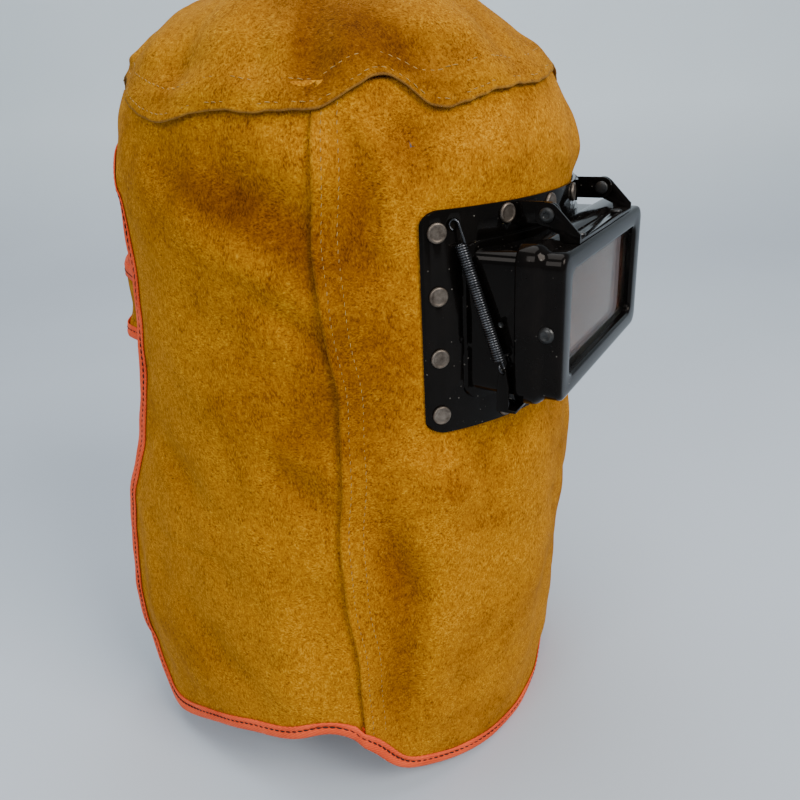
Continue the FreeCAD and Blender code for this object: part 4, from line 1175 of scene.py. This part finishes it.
def build_springs():
    """One continuous wire each: upper hook, close turns and lower hook."""
    joints = {joint["name"]: joint for joint in frame["joints"]}
    for side in ("left", "right"):
        swing, stretch = joints[f"spring_swing_{side}"], joints[f"spring_stretch_{side}"]
        top = np.array(swing["pos_m"])
        way = unit(np.array(stretch["axis"]))
        tail = np.array([(a + b) / 2 for a, b in zip(*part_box(f"spring_tail_{side}"))])
        length = (tail - top) @ way + 2.4 * MM
        side_way, other = np.array([1.0, 0, 0]), np.cross(way, [1.0, 0, 0])
        wire, mean, hook = 0.46 * MM, 2.02 * MM, 2.0 * MM
        coil_from, coil_to = 7.6 * MM, length - 5.4 * MM
        turns = int((coil_to - coil_from) / (2.12 * wire))
        bend = np.linspace(-150, 90, 30)
        upper = [top + hook * (-cos(radians(a)) * way + sin(radians(a)) * other) for a in bend]
        lead = np.linspace(0, 1, 8)[1:-1, None]
        coil_turn = np.linspace(0, 2 * pi * turns, turns * 18)
        coil = (top + way * (coil_from + (coil_to - coil_from) * coil_turn / coil_turn[-1])[:, None]
                + mean * (np.cos(coil_turn)[:, None] * other + np.sin(coil_turn)[:, None] * side_way))
        end_centre = top + way * (length - hook)
        last = coil[-1] - (top + way * coil_to)
        last = last / np.linalg.norm(last)
        to_side = np.linspace(0, 1, 6)[1:, None]
        quarter = unit((1 - to_side) * last + to_side * side_way) * mean + top + way * coil_to
        quarter = quarter + way * (1.2 * MM * to_side)
        lower = np.array([end_centre + hook * (cos(radians(a)) * way + sin(radians(a)) * side_way)
                          for a in np.linspace(90, -150, 30)])
        upper = np.array(upper)
        path = np.concatenate([upper, upper[-1] + (coil[0] - upper[-1]) * lead, coil, quarter,
                               quarter[-1] + (lower[0] - quarter[-1]) * lead, lower])
        points, faces = tube(path, wire, 7)
        ends = [list(range(7)), list(range(len(points) - 7, len(points)))[::-1]]
        obj = mesh_object(f"spring_wire_{side}", points, faces.tolist() + ends, SPRING)
        outward_faces(obj)
        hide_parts(f"spring_{side}", f"spring_tail_{side}")
        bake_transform(obj)


def build_steel():
    """The lens holder's pieces, and new materials for those that stay the CAD's own."""
    build_flip_front()
    build_rivets()
    build_pivots()
    build_springs()
    refined("lens_box", ENAMEL, 0.5 * MM, "lens_box_shell")
    refined("base_plate", ENAMEL, 0.4 * MM, "base_plate_sheet")
    refined("backing_frame", ENAMEL, 0.3 * MM, "backing_frame_sheet")
    refined("hinge_bail", SATIN, 0.4 * MM, "hinge_bail_strip")
    for side in ("left", "right"):
        refined(f"hinge_ear_{side}", ENAMEL, 0.12 * MM)
        refined(f"pivot_washer_{side}", PIN, 0.12 * MM)
        refined(f"spring_tab_{side}", ENAMEL, 0.35 * MM)
    for node, material in (("filter_cover_glass", CLEAR_GLASS), ("clear_cover_glass", CLEAR_GLASS),
                           ("dark_filter_glass", DARK_GLASS), ("filter_gasket", RUBBER),
                           ("clear_cover_gasket", RUBBER), ("filter_retainer", SPRING_STEEL),
                           ("clear_cover_retainer", SPRING_STEEL), ("strap_hook_patch", HOOK_CLOTH),
                           ("strap_loop_patch", HOOK_CLOTH)):
        frame["nodes"][node].data.materials.clear()
        frame["nodes"][node].data.materials.append(material)


def build_sweatband():
    """Quilted cotton band inside the brow."""
    low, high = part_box("brow_sweatband")
    angle = np.linspace(-66, 66, 120)
    turn = np.linspace(0, 2 * pi, 28, endpoint=False)
    middle, tall = (low.z + high.z) / 2, (high.z - low.z) / 2 - 0.5 * MM
    puff = 1 + 0.12 * np.cos(np.radians(angle * 16))[:, None]
    z = middle + tall * np.sign(np.sin(turn)) * np.abs(np.sin(turn)) ** 0.8 + 0 * puff
    lift = -(GAUGE + 2.3 * MM) + 1.9 * MM * np.cos(turn) * puff
    at = np.broadcast_to(angle[:, None], z.shape)
    ends = np.sqrt(np.clip(1 - (np.abs(angle) / 66.5) ** 24, 0.02, 1))[:, None]
    z = middle + (z - middle) * ends
    points = hood(at, z) + outward(at, z) * lift[..., None]
    faces = grid_faces(len(angle), len(turn), wrap_columns=True).tolist()
    faces += [list(range(28)), list(range(119 * 28, 120 * 28))[::-1]]
    obj = mesh_object("brow_sweatband_quilted", points, faces, BAND_CLOTH)
    outward_faces(obj)
    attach(obj, "hood")
    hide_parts("brow_sweatband")


# ------------------------------------------------------------------ stage, light and camera

def build_stage():
    """Pale floor that sweeps up into a backdrop."""
    floor = cad_box[0][2] - 0.5 * MM
    profile = [(-2.2, 0.0), (0.9, 0.0), (1.15, 0.02), (1.35, 0.09), (1.5, 0.22), (1.58, 0.45), (1.6, 3.0)]
    away = Vector((0.864, 0.503, 0.0)).normalized()
    across = Vector((-away.y, away.x, 0.0))
    points = [away * reach + across * side + Vector((0, 0, floor + rise))
              for reach, rise in profile for side in (-4.0, 4.0)]
    faces = [[2 * i, 2 * i + 1, 2 * i + 3, 2 * i + 2] for i in range(len(profile) - 1)]
    sweep = new_material("pale backdrop", (0.56, 0.60, 0.65), Roughness=0.85)
    tree = sweep.node_tree
    where = object_coordinates(tree)
    height = add(tree, "ShaderNodeSeparateXYZ", {"Vector": where}).outputs["Z"]
    # Painted light: the sweep is darker on the floor and grows lighter up the backdrop.
    rising = ramp(tree, math_node(tree, "ADD", height, 0.42),
                  [(0.03, (0.50, 0.545, 0.60)), (0.30, (0.68, 0.75, 0.79))])
    grain = ramp(tree, noise(tree, where, 2.2, 3.0), [(0.3, 0.94), (0.7, 1.0)])
    tree.links.new(mix(tree, 1.0, rising, grain, "MULTIPLY"),
                   tree.nodes["Principled BSDF"].inputs["Base Color"])
    obj = mesh_object("backdrop", [tuple(p) for p in points], faces, sweep)
    subdivide = obj.modifiers.new("soft_sweep", "SUBSURF")
    subdivide.levels = subdivide.render_levels = 3


def area_light(name, place, aim, size, energy, color=(1, 1, 1)):
    data = bpy.data.lights.new(name, "AREA")
    data.shape, data.size, data.size_y = "RECTANGLE", size[0], size[1]
    data.energy, data.color = energy, color
    obj = bpy.data.objects.new(name, data)
    bpy.context.scene.collection.objects.link(obj)
    obj.location = place
    obj.rotation_euler = (Vector(aim) - Vector(place)).to_track_quat("-Z", "Y").to_euler()


def build_lights():
    """A big key from the front, a fill from the right, a soft light above and a pale sky."""
    world = bpy.data.worlds.new("studio")
    bpy.context.scene.world = world
    world.use_nodes = True
    background = world.node_tree.nodes["Background"]
    background.inputs["Color"].default_value = (0.80, 0.90, 1.0, 1)
    background.inputs["Strength"].default_value = 0.40
    target = (0.0, 0.0, -0.18)
    area_light("key_window", (-0.4, -1.7, 1.2), target, (1.0, 1.0), 44, (1.0, 0.98, 0.95))
    area_light("side_fill", (-1.5, -0.1, 0.9), target, (0.9, 0.9), 14, (0.94, 0.97, 1.0))
    area_light("top_soft", (0.1, 0.2, 1.6), target, (1.4, 1.4), 24, (0.95, 0.98, 1.0))


def build_camera():
    """Camera close to the wearer's right, looking a little down."""
    azimuth, elevation, roll = radians(-59.77), radians(22.83), radians(-2.91)
    back = Vector((sin(azimuth) * cos(elevation), -cos(azimuth) * cos(elevation), sin(elevation)))
    right = (-back).cross(Vector((0, 0, 1))).normalized()
    up = right.cross(-back)
    turned_right = cos(roll) * right + sin(roll) * up
    turned_up = -sin(roll) * right + cos(roll) * up
    basis = Matrix((turned_right, turned_up, back)).transposed().to_4x4()
    data = bpy.data.cameras.new("camera")
    data.sensor_width, data.lens = 36.0, 34.63
    data.clip_start = 0.01
    obj = bpy.data.objects.new("camera", data)
    bpy.context.scene.collection.objects.link(obj)
    obj.matrix_world = Matrix.Translation((-0.3313, -0.21037, -0.04296)) @ basis
    bpy.context.scene.camera = obj


build_camera()
build_stage()
build_lights()
build_panels()
build_crown()
seam_stitches()
build_binding()
build_strap()
build_steel()
build_sweatband()
